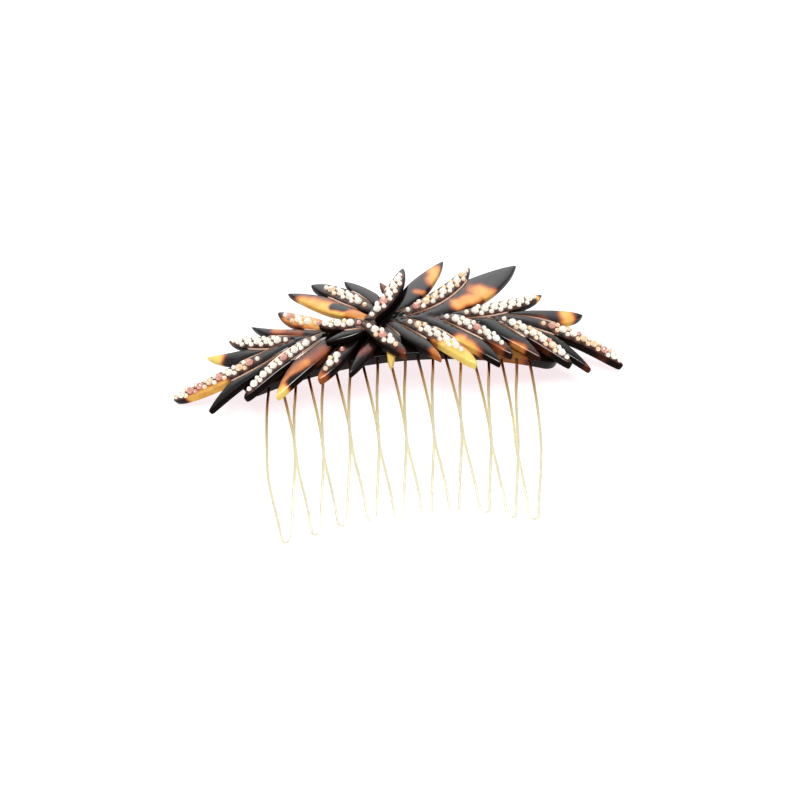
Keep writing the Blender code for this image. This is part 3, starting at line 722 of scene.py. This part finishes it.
def cut_stone(radius, height):
    """Points and faces of a faceted stone: a table, eight star and sixteen girdle facets."""
    points = []
    for level, spread, count, turn in (
        (1.0, 0.52, TABLE_SIDES, 0.5),
        (0.72, 0.82, TABLE_SIDES, 0.0),
        (0.36, 1.0, GIRDLE_SIDES, 0.0),
        (0.0, 0.9, GIRDLE_SIDES, 0.0),
    ):
        for k in range(count):
            angle = (k + turn) * 2 * math.pi / count
            reach = radius * spread
            points.append((reach * math.cos(angle), reach * math.sin(angle), height * level))
    crown = TABLE_SIDES
    girdle = crown + TABLE_SIDES
    foot = girdle + GIRDLE_SIDES
    faces = [tuple(range(TABLE_SIDES))]
    for k in range(TABLE_SIDES):
        corner = crown + k
        under = girdle + 2 * k
        after = girdle + (2 * k + 1) % GIRDLE_SIDES
        faces.append(((k - 1) % TABLE_SIDES, corner, k))
        faces.append((k, corner, after, crown + (k + 1) % TABLE_SIDES))
        faces.append((corner, under, after))
        faces.append((corner, girdle + (2 * k - 1) % GIRDLE_SIDES, under))
    for k in range(GIRDLE_SIDES):
        n = (k + 1) % GIRDLE_SIDES
        faces.append((girdle + k, foot + k, foot + n, girdle + n))
    faces.append(tuple(range(foot + GIRDLE_SIDES - 1, foot - 1, -1)))
    return np.array(points), faces


def make_stones(row, leaf, base, finish, rng):
    """The faceted stones of one leaflet, seated in its top."""
    tinted = TINTED_ROWS.get(row, FEW_TINTED)
    flat_radius = HEAD_RADIUS + base + SHEET
    height = base + SHEET + GEM_RISE + CROWN - STONE_SINK
    vertices, faces, tints = [], [], []
    start = 0
    for centre, diameter, rise in stone_row(leaf):
        shape, cut = cut_stone(diameter / 2 * rng.uniform(0.97, 1.03), rise * rng.uniform(0.95, 1.05))
        p, q = centre
        seat, *near = (
            on_sheet(p + dp, q + dq, height, flat_radius)
            for dp, dq in ((0.0, 0.0), (-0.1, 0.0), (0.1, 0.0), (0.0, -0.1), (0.0, 0.1))
        )
        along_p, along_q = near[1] - near[0], near[3] - near[2]
        right = along_p / np.linalg.norm(along_p)
        up = np.cross(right, along_q)
        up /= np.linalg.norm(up)
        back = np.cross(up, right)
        turned = np.stack([right, back, up], axis=1)
        tilt = Matrix.Rotation(math.radians(rng.uniform(-STONE_TILT, STONE_TILT)), 3, "X")
        tilt = tilt @ Matrix.Rotation(math.radians(rng.uniform(-STONE_TILT, STONE_TILT)), 3, "Y")
        tilt = tilt @ Matrix.Rotation(rng.uniform(0, math.pi / 4), 3, "Z")
        placed = seat + MM * (turned @ np.array(tilt) @ shape.T).T
        vertices.append(placed)
        faces += [tuple(start + i for i in face) for face in cut]
        start += len(shape)
        # 1 is rose, 0.5 champagne and nearly 0 clear
        draw = rng.random()
        rose = tinted * (BIG_ROSE if diameter == BIG_STONE else SMALL_ROSE)
        tint = 1.0 if draw < rose else (0.5 if draw < tinted else 0.12 * rng.random())
        tints += [tint] * len(shape)
    made = new_object(f"gems_{row}", np.vstack(vertices), faces, [finish], smooth_shaded=False)
    set_attribute(made, "tint", tints)
    settle(made, "rhinestone", f"stones_{row}")


# ---------------------------------------------------------------- bar, teeth and pins


def bar_section(p):
    """The bar's cross-section at p as (q, h) points, with rounded edges, closing at each end."""
    from_end = BAR_LENGTH / 2 - abs(p)
    lost = 0.0
    if from_end < BAR_CORNER_RADIUS:
        reach = BAR_CORNER_RADIUS - from_end
        lost = BAR_CORNER_RADIUS - math.sqrt(max(BAR_CORNER_RADIUS**2 - reach**2, 0.0))
    thin = 1 - BAR_END_THINNING * max(0.0, 1 - from_end / BAR_END_REACH) ** 2
    low, high = lost, BAR_HEIGHT - lost
    half = BAR_THICKNESS / 2 * thin
    r = BAR_ROUND
    outline = []
    for centre_q, centre_h, turn in (
        (high - r, half - r, 0),
        (low + r, half - r, 90),
        (low + r, r - half, 180),
        (high - r, r - half, 270),
    ):
        for step in range(0, 91, 15):
            angle = math.radians(turn + step)
            outline.append((centre_q + r * math.cos(angle), centre_h + r * math.sin(angle)))
    rows = []
    for (q0, h0), (q1, h1) in zip(outline, outline[1:] + outline[:1]):
        pieces = BAR_ROWS if math.hypot(q1 - q0, h1 - h0) > BAR_THICKNESS else 1
        rows += [(q0 + (q1 - q0) * k / pieces, h0 + (h1 - h0) * k / pieces) for k in range(pieces)]
    return rows


def make_bar(finish):
    """The curved bar behind the sprays."""
    end = BAR_LENGTH / 2
    rights = [end - d for d in BAR_END_STATIONS]
    rights += list(np.arange(BAR_STEP, end - BAR_END_STATIONS[-1] - BAR_STEP / 2, BAR_STEP))
    places = sorted([-p for p in rights] + [0.0] + rights)
    vertices, flat = [], []
    for p in places:
        section = np.array(bar_section(p))
        vertices.append(on_bar(p, section[:, 0], section[:, 1]))
        flat += [(p, q) for q, _ in section]
    count = len(vertices[0])
    faces = [face[::-1] for face in rings_joined(len(places), count)]
    faces.append(tuple(range(count - 1, -1, -1)))
    last = (len(places) - 1) * count
    faces.append(tuple(range(last, last + count)))
    made = new_object("bar_acetate", np.vstack(vertices), faces, [finish])
    made.data.set_sharp_from_angle(angle=math.radians(50))
    flat = np.array(flat)
    set_attribute(made, "light", lightness(flat, BAR_PATCHES, 3.0))
    # Painted shade: the whole bar gets a middle side value, which darkens its colour as if the sprays
    # shaded it and dulls its gloss.
    set_attribute(made, "side", np.full(len(flat), 0.55))
    settle(made, "tortoiseshell", "back_bar")


def leg_bow(stations, share):
    """Smooth curve through the (share, bow) stations of a leg."""
    last = len(stations) - 1
    k = max(i for i in range(last) if stations[i][0] <= share)
    before, after = stations[max(k - 1, 0)], stations[min(k + 2, last)]
    (a, low), (b, high) = stations[k], stations[k + 1]
    x = (share - a) / (b - a)
    start = (high - before[1]) * (b - a) / (b - before[0])
    end = (after[1] - low) * (b - a) / (after[0] - a)
    return (
        (2 * x**3 - 3 * x**2 + 1) * low
        + (x**3 - 2 * x**2 + x) * start
        + (3 * x**2 - 2 * x**3) * high
        + (x**3 - x**2) * end
    )


def leg_height(share):
    """How far a leg runs from the middle surface: a tooth's legs come level before its bend."""
    return LEG_STAGGER * float(1 - smooth((share - LEVEL_FROM) / LEVEL_OVER))


def on_tooth(x, down, h):
    """A point of a tooth: x across, down from the bar and h above its curved middle surface."""
    share = max(down, 0.0) / TOOTH_LENGTH
    z = math.sqrt(HEAD_RADIUS**2 - x**2) - HEAD_RADIUS
    return MM * np.array([x, -down - BAR_HEIGHT, z + h - TOOTH_DROOP * share**2])


def tooth_path(index):
    """Centreline of one hairpin: down its left leg, round the tip and up its right leg."""
    middle = (index - (TOOTH_COUNT - 1) / 2) * TOOTH_PITCH
    left = OUTER_HOLES[0] if index == 0 else middle - LEFT_REACH
    right = OUTER_HOLES[1] if index == TOOTH_COUNT - 1 else middle + RIGHT_REACH
    tip = middle + TIP_DRIFT[index]
    left_bow = FIRST_LEG_BOW if index == 0 else LEFT_BOW
    right_bow = LAST_LEG_BOW if index == TOOTH_COUNT - 1 else RIGHT_BOW
    down, up, bend = [], [], []
    reach = TOOTH_LENGTH + TIP_REACH[index]
    for share in np.linspace(0, LEG_SHARE, LEG_STATIONS):
        h = leg_height(share)
        x = left + (tip - left) * share - leg_bow(left_bow, share)
        down.append(on_tooth(x, share * reach, -h))
        x = right + (tip - right) * share + leg_bow(right_bow, share)
        up.append(on_tooth(x, share * reach, h))
    for degrees in range(-90, 91, 15):
        turn = math.sin(math.radians(degrees))
        depth = reach - TIP_BEND * (1 - math.cos(math.radians(degrees)))
        bend.append(on_tooth(tip + TIP_BEND * turn, depth, 0.0))
    legs = []
    for leg, toward in ((down, bend[0]), (up, bend[-1])):
        # The last stretch runs straight into the bend
        last = leg[-1]
        legs.append(leg + [last + (toward - last) * k / 4 for k in (1, 2, 3)])
    start = on_tooth(left, -TOOTH_EMBED, -LEG_STAGGER)
    end = on_tooth(right, -TOOTH_EMBED, LEG_STAGGER)
    return np.array([start, *legs[0], *bend, *legs[1][::-1], end])


def make_tooth(index, finish):
    """One hairpin tooth of round wire."""
    name = f"tooth_{index + 1:02d}"
    path = tooth_path(index)
    vertices, faces = swept([(path, np.full(len(path), WIRE_RADIUS * MM))], WIRE_SIDES)
    made = new_object(f"wire_{name}", vertices, faces, [finish])
    down = (-vertices[:, 1] / MM - BAR_HEIGHT) / TOOTH_LENGTH
    set_attribute(made, "down", np.clip(down, 0.0, 1.0))
    # The upward-facing side of each ring, where the finish paints a dark reflection near the bar.
    rings = vertices.reshape(len(path), WIRE_SIDES, 3)
    outward = (rings - rings.mean(axis=1, keepdims=True)) / (WIRE_RADIUS * MM)
    rise = outward[..., 2]
    front = rise / np.maximum(np.abs(outward[..., 1:]).max(axis=2), 1e-6) * np.abs(rise)
    set_attribute(made, "front", np.clip(front, 0.0, 1.0).ravel())
    settle(made, "gold_wire", name)


def make_pin(name, p, q, ends_in, finish):
    """A headed pin square to the bar, with a domed head at the back."""
    under = -BAR_TOP - SEAT_GAP
    reach = ends_in + PIN_BITE
    profile = [(0.0, under - PIN_HEAD_HEIGHT)]
    for degrees in range(15, 91, 15):
        angle = math.radians(degrees)
        drop = 0.1 + (PIN_HEAD_HEIGHT - 0.1) * math.cos(angle)
        profile.append((PIN_HEAD_RADIUS * math.sin(angle), under - drop))
    profile += [
        (PIN_HEAD_RADIUS, under - 0.05),
        (PIN_HEAD_RADIUS - 0.05, under),
        (PIN_RADIUS + 0.08, under),
        (PIN_RADIUS, under + 0.08),
        (PIN_RADIUS, reach - 0.1),
        (PIN_RADIUS - 0.12, reach),
        (0.0, reach),
    ]
    foot = on_bar(p, q, 0.0)
    axis = on_bar(p, q, 1.0) - foot
    axis /= np.linalg.norm(axis)
    side = np.array([0.0, 1.0, 0.0])
    other = np.cross(axis, side)
    sides = PIN_SIDES
    angles = np.arange(sides) * 2 * math.pi / sides
    circle = np.cos(angles)[:, None] * side + np.sin(angles)[:, None] * other
    vertices = [foot + axis * profile[0][1] * MM]
    for radius, height in profile[1:-1]:
        vertices += list(foot + MM * (axis * height + radius * circle))
    vertices.append(foot + axis * profile[-1][1] * MM)
    last = len(vertices) - 1
    top = last - sides
    faces = rings_joined(len(profile) - 2, sides, 1)
    for m in range(sides):
        n = (m + 1) % sides
        faces += [(0, 1 + m, 1 + n), (top + m, last, top + n)]
    made = new_object(f"rivet_{name}", vertices, faces, [finish])
    made.data.set_sharp_from_angle(angle=math.radians(40))
    settle(made, "brass_pin", name)


# ---------------------------------------------------------------- finishes


def linear(red, green, blue):
    """A colour from 0 to 255 in each channel, as the shader wants it."""
    values = []
    for value in (red, green, blue):
        value /= 255
        values.append(value / 12.92 if value <= 0.04045 else ((value + 0.055) / 1.055) ** 2.4)
    return (*values, 1.0)


class Nodes:
    """Short names for building a material's node tree."""

    def __init__(self, name):
        self.material = bpy.data.materials.new(name)
        self.material.use_nodes = True
        self.tree = self.material.node_tree
        self.shader = self.tree.nodes["Principled BSDF"]
        self.place = self.add("ShaderNodeTexCoord").outputs["Object"]

    def add(self, kind, **settings):
        made = self.tree.nodes.new(kind)
        for key, value in settings.items():
            setattr(made, key, value)
        return made

    def link(self, source, target):
        if hasattr(source, "links"):
            self.tree.links.new(source, target)
        else:
            target.default_value = source

    def set(self, name, source):
        self.link(source, self.shader.inputs[name])

    def fed(self, kind, sources, output=0, **settings):
        """An output of a new node, with its inputs linked or set by name or number."""
        made = self.add(kind, **settings)
        for key, source in sources.items():
            self.link(source, made.inputs[key])
        return made.outputs[output]

    def attribute(self, name):
        return self.fed("ShaderNodeAttribute", {}, "Fac", attribute_name=name)

    def noise(self, scale, detail=3.0, roughness=0.5, distortion=0.0, place=None):
        sizes = {"Scale": scale, "Detail": detail, "Roughness": roughness, "Distortion": distortion}
        return self.fed("ShaderNodeTexNoise", {"Vector": place or self.place, **sizes}, "Fac")

    def math(self, operation, a, b=0.0, clamp=False):
        return self.fed("ShaderNodeMath", {0: a, 1: b}, operation=operation, use_clamp=clamp)

    def span(self, value, low, high, to_low=0.0, to_high=1.0):
        ends = {"From Min": low, "From Max": high, "To Min": to_low, "To Max": to_high}
        return self.fed("ShaderNodeMapRange", {"Value": value, **ends}, "Result")

    def ramp(self, value, stops):
        made = self.add("ShaderNodeValToRGB")
        self.link(value, made.inputs["Fac"])
        elements = made.color_ramp.elements
        while len(elements) < len(stops):
            elements.new(0.5)
        for element, (place, colour) in zip(elements, stops):
            element.position = place
            element.color = colour
        return made.outputs["Color"]

    def mix(self, share, a, b):
        return self.fed("ShaderNodeMix", {"Factor": share, 6: a, 7: b}, 2, data_type="RGBA")

    def bump(self, height, distance):
        self.set("Normal", self.fed("ShaderNodeBump", {"Height": height, "Distance": distance}, "Normal"))


def tortoiseshell_finish(name, amber, honey, gloss):
    """Polished acetate: near-black brown with clouded patches of these two colours under a gloss, with
    painted shade on the side walls and undersides.
    """
    n = Nodes(name)
    light = n.attribute("light")
    side = n.attribute("side")
    cloud = n.math("SUBTRACT", n.noise(260, 3, 0.5, 0.6), 0.5)
    fine = n.math("SUBTRACT", n.noise(1500, 3, 0.6), 0.5)
    present = n.span(light, 0.02, 0.3)
    wander = n.math("ADD", n.math("MULTIPLY", cloud, 0.3), n.math("MULTIPLY", fine, 0.07))
    shade = n.math("ADD", light, n.math("MULTIPLY", wander, present), clamp=True)
    ground = n.math("MULTIPLY", n.math("MAXIMUM", cloud, 0.0), 0.16)
    shade = n.math("MAXIMUM", shade, ground)
    colour = n.ramp(
        shade,
        (
            (0.0, linear(13, 9, 8)),
            (0.16, linear(38, 20, 16)),
            (0.32, linear(98, 44, 28)),
            (0.47, linear(160, 80, 42)),
            (0.62, linear(*amber)),
            (0.8, linear(240, 178, 88)),
            (1.0, linear(*honey)),
        ),
    )
    # Painted shade: the side attribute darkens side walls and undersides towards near-black, less so on
    # the honey patches.
    colour = n.mix(n.math("MULTIPLY", side, n.span(shade, 0.3, 0.9, 0.75, 0.1)), colour, linear(16, 8, 5))
    bed = n.math("MULTIPLY", n.attribute("bed"), n.span(light, 0.2, 0.7, 0.9, 0.15))
    colour = n.mix(bed, colour, n.ramp(fine, ((0.0, linear(84, 46, 36)), (0.1, linear(112, 66, 48)))))
    n.set("Base Color", colour)
    wear = n.noise(900, 4, 0.7)
    rough = n.span(wear, 0.3, 0.7, 0.14, 0.24)
    n.set("Roughness", n.math("ADD", rough, n.math("MULTIPLY", side, 0.15)))
    n.set("Specular IOR Level", n.span(side, 0.2, 1.0, 0.5 * gloss, 0.03))
    n.set("Coat Weight", n.span(side, 0.2, 1.0, 0.4 * gloss, 0.0))
    n.set("Coat Roughness", 0.05)
    n.set("Subsurface Weight", n.math("MULTIPLY", shade, 0.12))
    n.shader.inputs["Subsurface Radius"].default_value = (0.0012, 0.0006, 0.0002)
    n.shader.inputs["Subsurface Scale"].default_value = 1.0
    n.bump(n.noise(160, 2, 0.5), 0.00006)
    return n.material


def copper_finish(name):
    """Thin copper line, pale and bright towards the leaflets' tips and brown towards their roots."""
    n = Nodes(name)
    patina = n.noise(300, 4, 0.6)
    uneven = n.math("MULTIPLY", n.math("SUBTRACT", patina, 0.5), 0.5)
    colour = n.ramp(
        n.math("ADD", n.attribute("tipward_brightness"), uneven, clamp=True),
        ((0.0, linear(112, 74, 54)), (0.35, linear(176, 126, 98)), (0.75, linear(246, 208, 182))),
    )
    n.set("Base Color", colour)
    n.set("Metallic", 0.5)
    n.set("Roughness", n.span(patina, 0.3, 0.7, 0.45, 0.3))
    n.bump(n.noise(4000, 2, 0.5), 0.00001)
    return n.material


def gold_finish(name):
    """Gold wire, drawn lengthwise, with painted reflection: copper-toned and darker near the bar, pale
    and bright towards the tips, and a painted dark stripe on its upper side near the bar.
    """
    n = Nodes(name)
    down = n.attribute("down")
    lengthwise = n.fed("ShaderNodeVectorMath", {0: n.place, 1: (1.0, 0.04, 0.3)}, operation="MULTIPLY")
    drawn = n.noise(1500, 2, 0.5, place=lengthwise)
    # Painted reflection: the colour runs from darker copper near the bar, for the comb's dark underside
    # mirrored in the wire, to pale cream at the tips, for the bright floor.
    colour = n.ramp(
        n.math("ADD", down, n.math("MULTIPLY", n.math("SUBTRACT", drawn, 0.5), 0.05)),
        (
            (0.0, linear(206, 140, 88)),
            (0.1, linear(230, 172, 118)),
            (0.22, linear(238, 208, 154)),
            (0.4, linear(244, 236, 196)),
            (1.0, linear(250, 247, 226)),
        ),
    )
    # Painted dark reflection on the upward-facing side of the wire near the bar.
    front = n.span(n.attribute("front"), 0.8, 0.98)
    shadow = n.math("MULTIPLY", front, n.span(down, 0.06, 0.34, 0.85, 0.0))
    n.set("Base Color", n.mix(shadow, colour, linear(40, 20, 10)))
    n.set("Metallic", n.span(down, 0.1, 0.5, 1.0, 0.4))
    n.set("Roughness", n.span(drawn, 0.3, 0.7, 0.2, 0.34))
    n.bump(drawn, 0.000006)
    return n.material


def brass_finish(name):
    """Brass rivets with a slightly tarnished, brushed head."""
    n = Nodes(name)
    tarnish = n.noise(1100, 4, 0.65)
    n.set("Base Color", n.ramp(tarnish, ((0.3, linear(150, 104, 48)), (0.7, linear(232, 190, 112)))))
    n.set("Metallic", 1.0)
    n.set("Roughness", n.span(tarnish, 0.3, 0.7, 0.42, 0.22))
    n.bump(n.noise(5000, 2, 0.5), 0.00001)
    return n.material


def rhinestone_finish(name):
    """Foil-backed glass stones: clear, champagne and a few rose ones, with a faint painted glow of their
    own colour.
    """
    n = Nodes(name)
    tint = n.attribute("tint")
    flaw = n.noise(2600, 2, 0.5)
    stop = n.math("ADD", tint, n.math("MULTIPLY", n.math("SUBTRACT", flaw, 0.5), 0.3), clamp=True)
    colour = n.ramp(
        stop,
        (
            (0.0, linear(255, 251, 240)),
            (0.3, linear(255, 245, 220)),
            (0.55, linear(248, 212, 172)),
            (1.0, linear(222, 162, 148)),
        ),
    )
    n.set("Base Color", colour)
    # Painted glow: the stones emit a little of their own colour, though they are no lamp.
    n.set("Emission Color", colour)
    n.set("Emission Strength", 0.1)
    n.set("Metallic", 0.3)
    n.set("Roughness", n.span(flaw, 0.3, 0.7, 0.1, 0.2))
    n.set("Coat Weight", 0.6)
    n.set("Coat Roughness", 0.02)
    return n.material


def floor_finish(name):
    """Plain pale acrylic, lit from below, with a barely visible grain."""
    n = Nodes(name)
    grain = n.noise(40, 4, 0.6)
    n.set("Base Color", n.ramp(grain, ((0.3, (0.56, 0.6, 0.59, 1)), (0.7, (0.58, 0.62, 0.61, 1)))))
    n.set("Emission Color", (1.0, 0.86, 0.9, 1.0))
    n.set("Emission Strength", 0.74)
    n.set("Roughness", 0.9)
    n.set("Specular IOR Level", 0.0)
    return n.material


# ---------------------------------------------------------------- build


def build_comb():
    """All pieces of the comb."""
    shell = tortoiseshell_finish("tortoiseshell_acetate", (214, 128, 58), (248, 222, 118), 1.0)
    backing = tortoiseshell_finish("bar_acetate", (150, 108, 48), (214, 190, 110), 0.3)
    copper = copper_finish("copper_line")
    gold = gold_finish("gold_wire_metal")
    brass = brass_finish("brass_metal")
    crystal = rhinestone_finish("rhinestone_glass")
    rng = random.Random(27)

    make_bar(backing)
    for index in range(TOOTH_COUNT):
        make_tooth(index, gold)
    for node, stalk, leaves, base, patches, seed in (
        ("right_spray", RIGHT_STALK, RIGHT_SPRAY, SPRAY_BASE, RIGHT_PATCHES, 1.0),
        ("left_spray", LEFT_STALK, LEFT_SPRAY, SPRAY_BASE, LEFT_PATCHES, 5.0),
        ("centre_sprig", SPRIG_STALK, CENTRE_SPRIG, SPRIG_BASE, SPRIG_PATCHES, 8.0),
    ):
        sheet, outlines, rim = make_sheet(f"{node}_acetate", stalk, leaves, base, patches, shell, seed)
        settle(sheet, "tortoiseshell", node)
        make_inlay(f"{node}_inlay", leaves, outlines, rim, base, copper)
        for leaf in leaves:
            if leaf.stones:
                make_stones(f"{node}_{leaf.name}", leaf, base, crystal, rng)
    for name, (p, q, ends_in) in PINS.items():
        make_pin(name, p, q, ends_in, brass)


def make_sky():
    """Soft light all round, with a long bright strip above and behind the comb."""
    world = bpy.data.worlds.new("studio")
    bpy.context.scene.world = world
    world.use_nodes = True
    tree = world.node_tree
    place = tree.nodes.new("ShaderNodeTexCoord")
    stretch, unit, facing = (tree.nodes.new("ShaderNodeVectorMath") for _ in range(3))
    stretch.operation, unit.operation, facing.operation = "MULTIPLY", "NORMALIZE", "DOT_PRODUCT"
    stretch.inputs[1].default_value = LIGHT_STRETCH
    facing.inputs[1].default_value = LIGHT_FROM
    ramp = tree.nodes.new("ShaderNodeValToRGB")
    for element, edge, colour in zip(ramp.color_ramp.elements, LIGHT_EDGE, (SKY_DARK, SKY_BRIGHT)):
        element.position = edge
        element.color = colour
    sky = tree.nodes["Background"]
    sky.inputs["Strength"].default_value = 1.0
    for source, target in (
        (place.outputs["Generated"], stretch.inputs[0]),
        (stretch.outputs[0], unit.inputs[0]),
        (unit.outputs[0], facing.inputs[0]),
        (facing.outputs["Value"], ramp.inputs["Fac"]),
        (ramp.outputs["Color"], sky.inputs["Color"]),
    ):
        tree.links.new(source, target)


def make_sun():
    """A weak wide sun, for the shine along the leaflets' edges."""
    sun = bpy.data.lights.new("key", "SUN")
    sun.energy = SUN_ENERGY
    sun.angle = math.radians(SUN_ANGLE)
    sun.color = SUN_COLOUR
    key = bpy.data.objects.new("key", sun)
    key.rotation_euler = Vector(SUN_FROM).to_track_quat("Z", "Y").to_euler()
    bpy.context.scene.collection.objects.link(key)


def make_camera():
    """Looks down on the comb from its tooth side, with the bar rising a little to the right."""
    roll = math.radians(CAMERA_ROLL)
    elevation = math.radians(CAMERA_ELEVATION)
    away = Vector((0, -math.cos(elevation), math.sin(elevation)))
    right = Vector((1, 0, 0))
    up = away.cross(right)
    turned_right = right * math.cos(roll) - up * math.sin(roll)
    turned_up = right * math.sin(roll) + up * math.cos(roll)
    bar_middle = Vector((0, -BAR_HEIGHT * MM, 0))
    centre = bar_middle - (turned_right * CAMERA_SHIFT[0] + turned_up * CAMERA_SHIFT[1])
    data = bpy.data.cameras.new("camera")
    data.lens = CAMERA_LENS
    data.sensor_width = CAMERA_SENSOR
    data.clip_end = 10
    camera = bpy.data.objects.new("camera", data)
    turn = Matrix((turned_right, turned_up, away)).transposed().to_4x4()
    camera.matrix_world = Matrix.Translation(centre + away * CAMERA_DISTANCE) @ turn
    bpy.context.scene.collection.objects.link(camera)
    bpy.context.scene.camera = camera


def build_studio():
    """A pale floor under the comb, soft light from above and behind, and the camera."""
    z = CAD_BOX[0][2] - FLOOR_GAP
    far = FLOOR_REACH
    corners = [(-far, -far, z), (far, -far, z), (far, far, z), (-far, far, z)]
    new_object("floor", corners, [(0, 1, 2, 3)], [floor_finish("floor_paper")])
    make_sky()
    make_sun()
    make_camera()
    bpy.context.scene.view_settings.view_transform = "Standard"


build_comb()
build_studio()
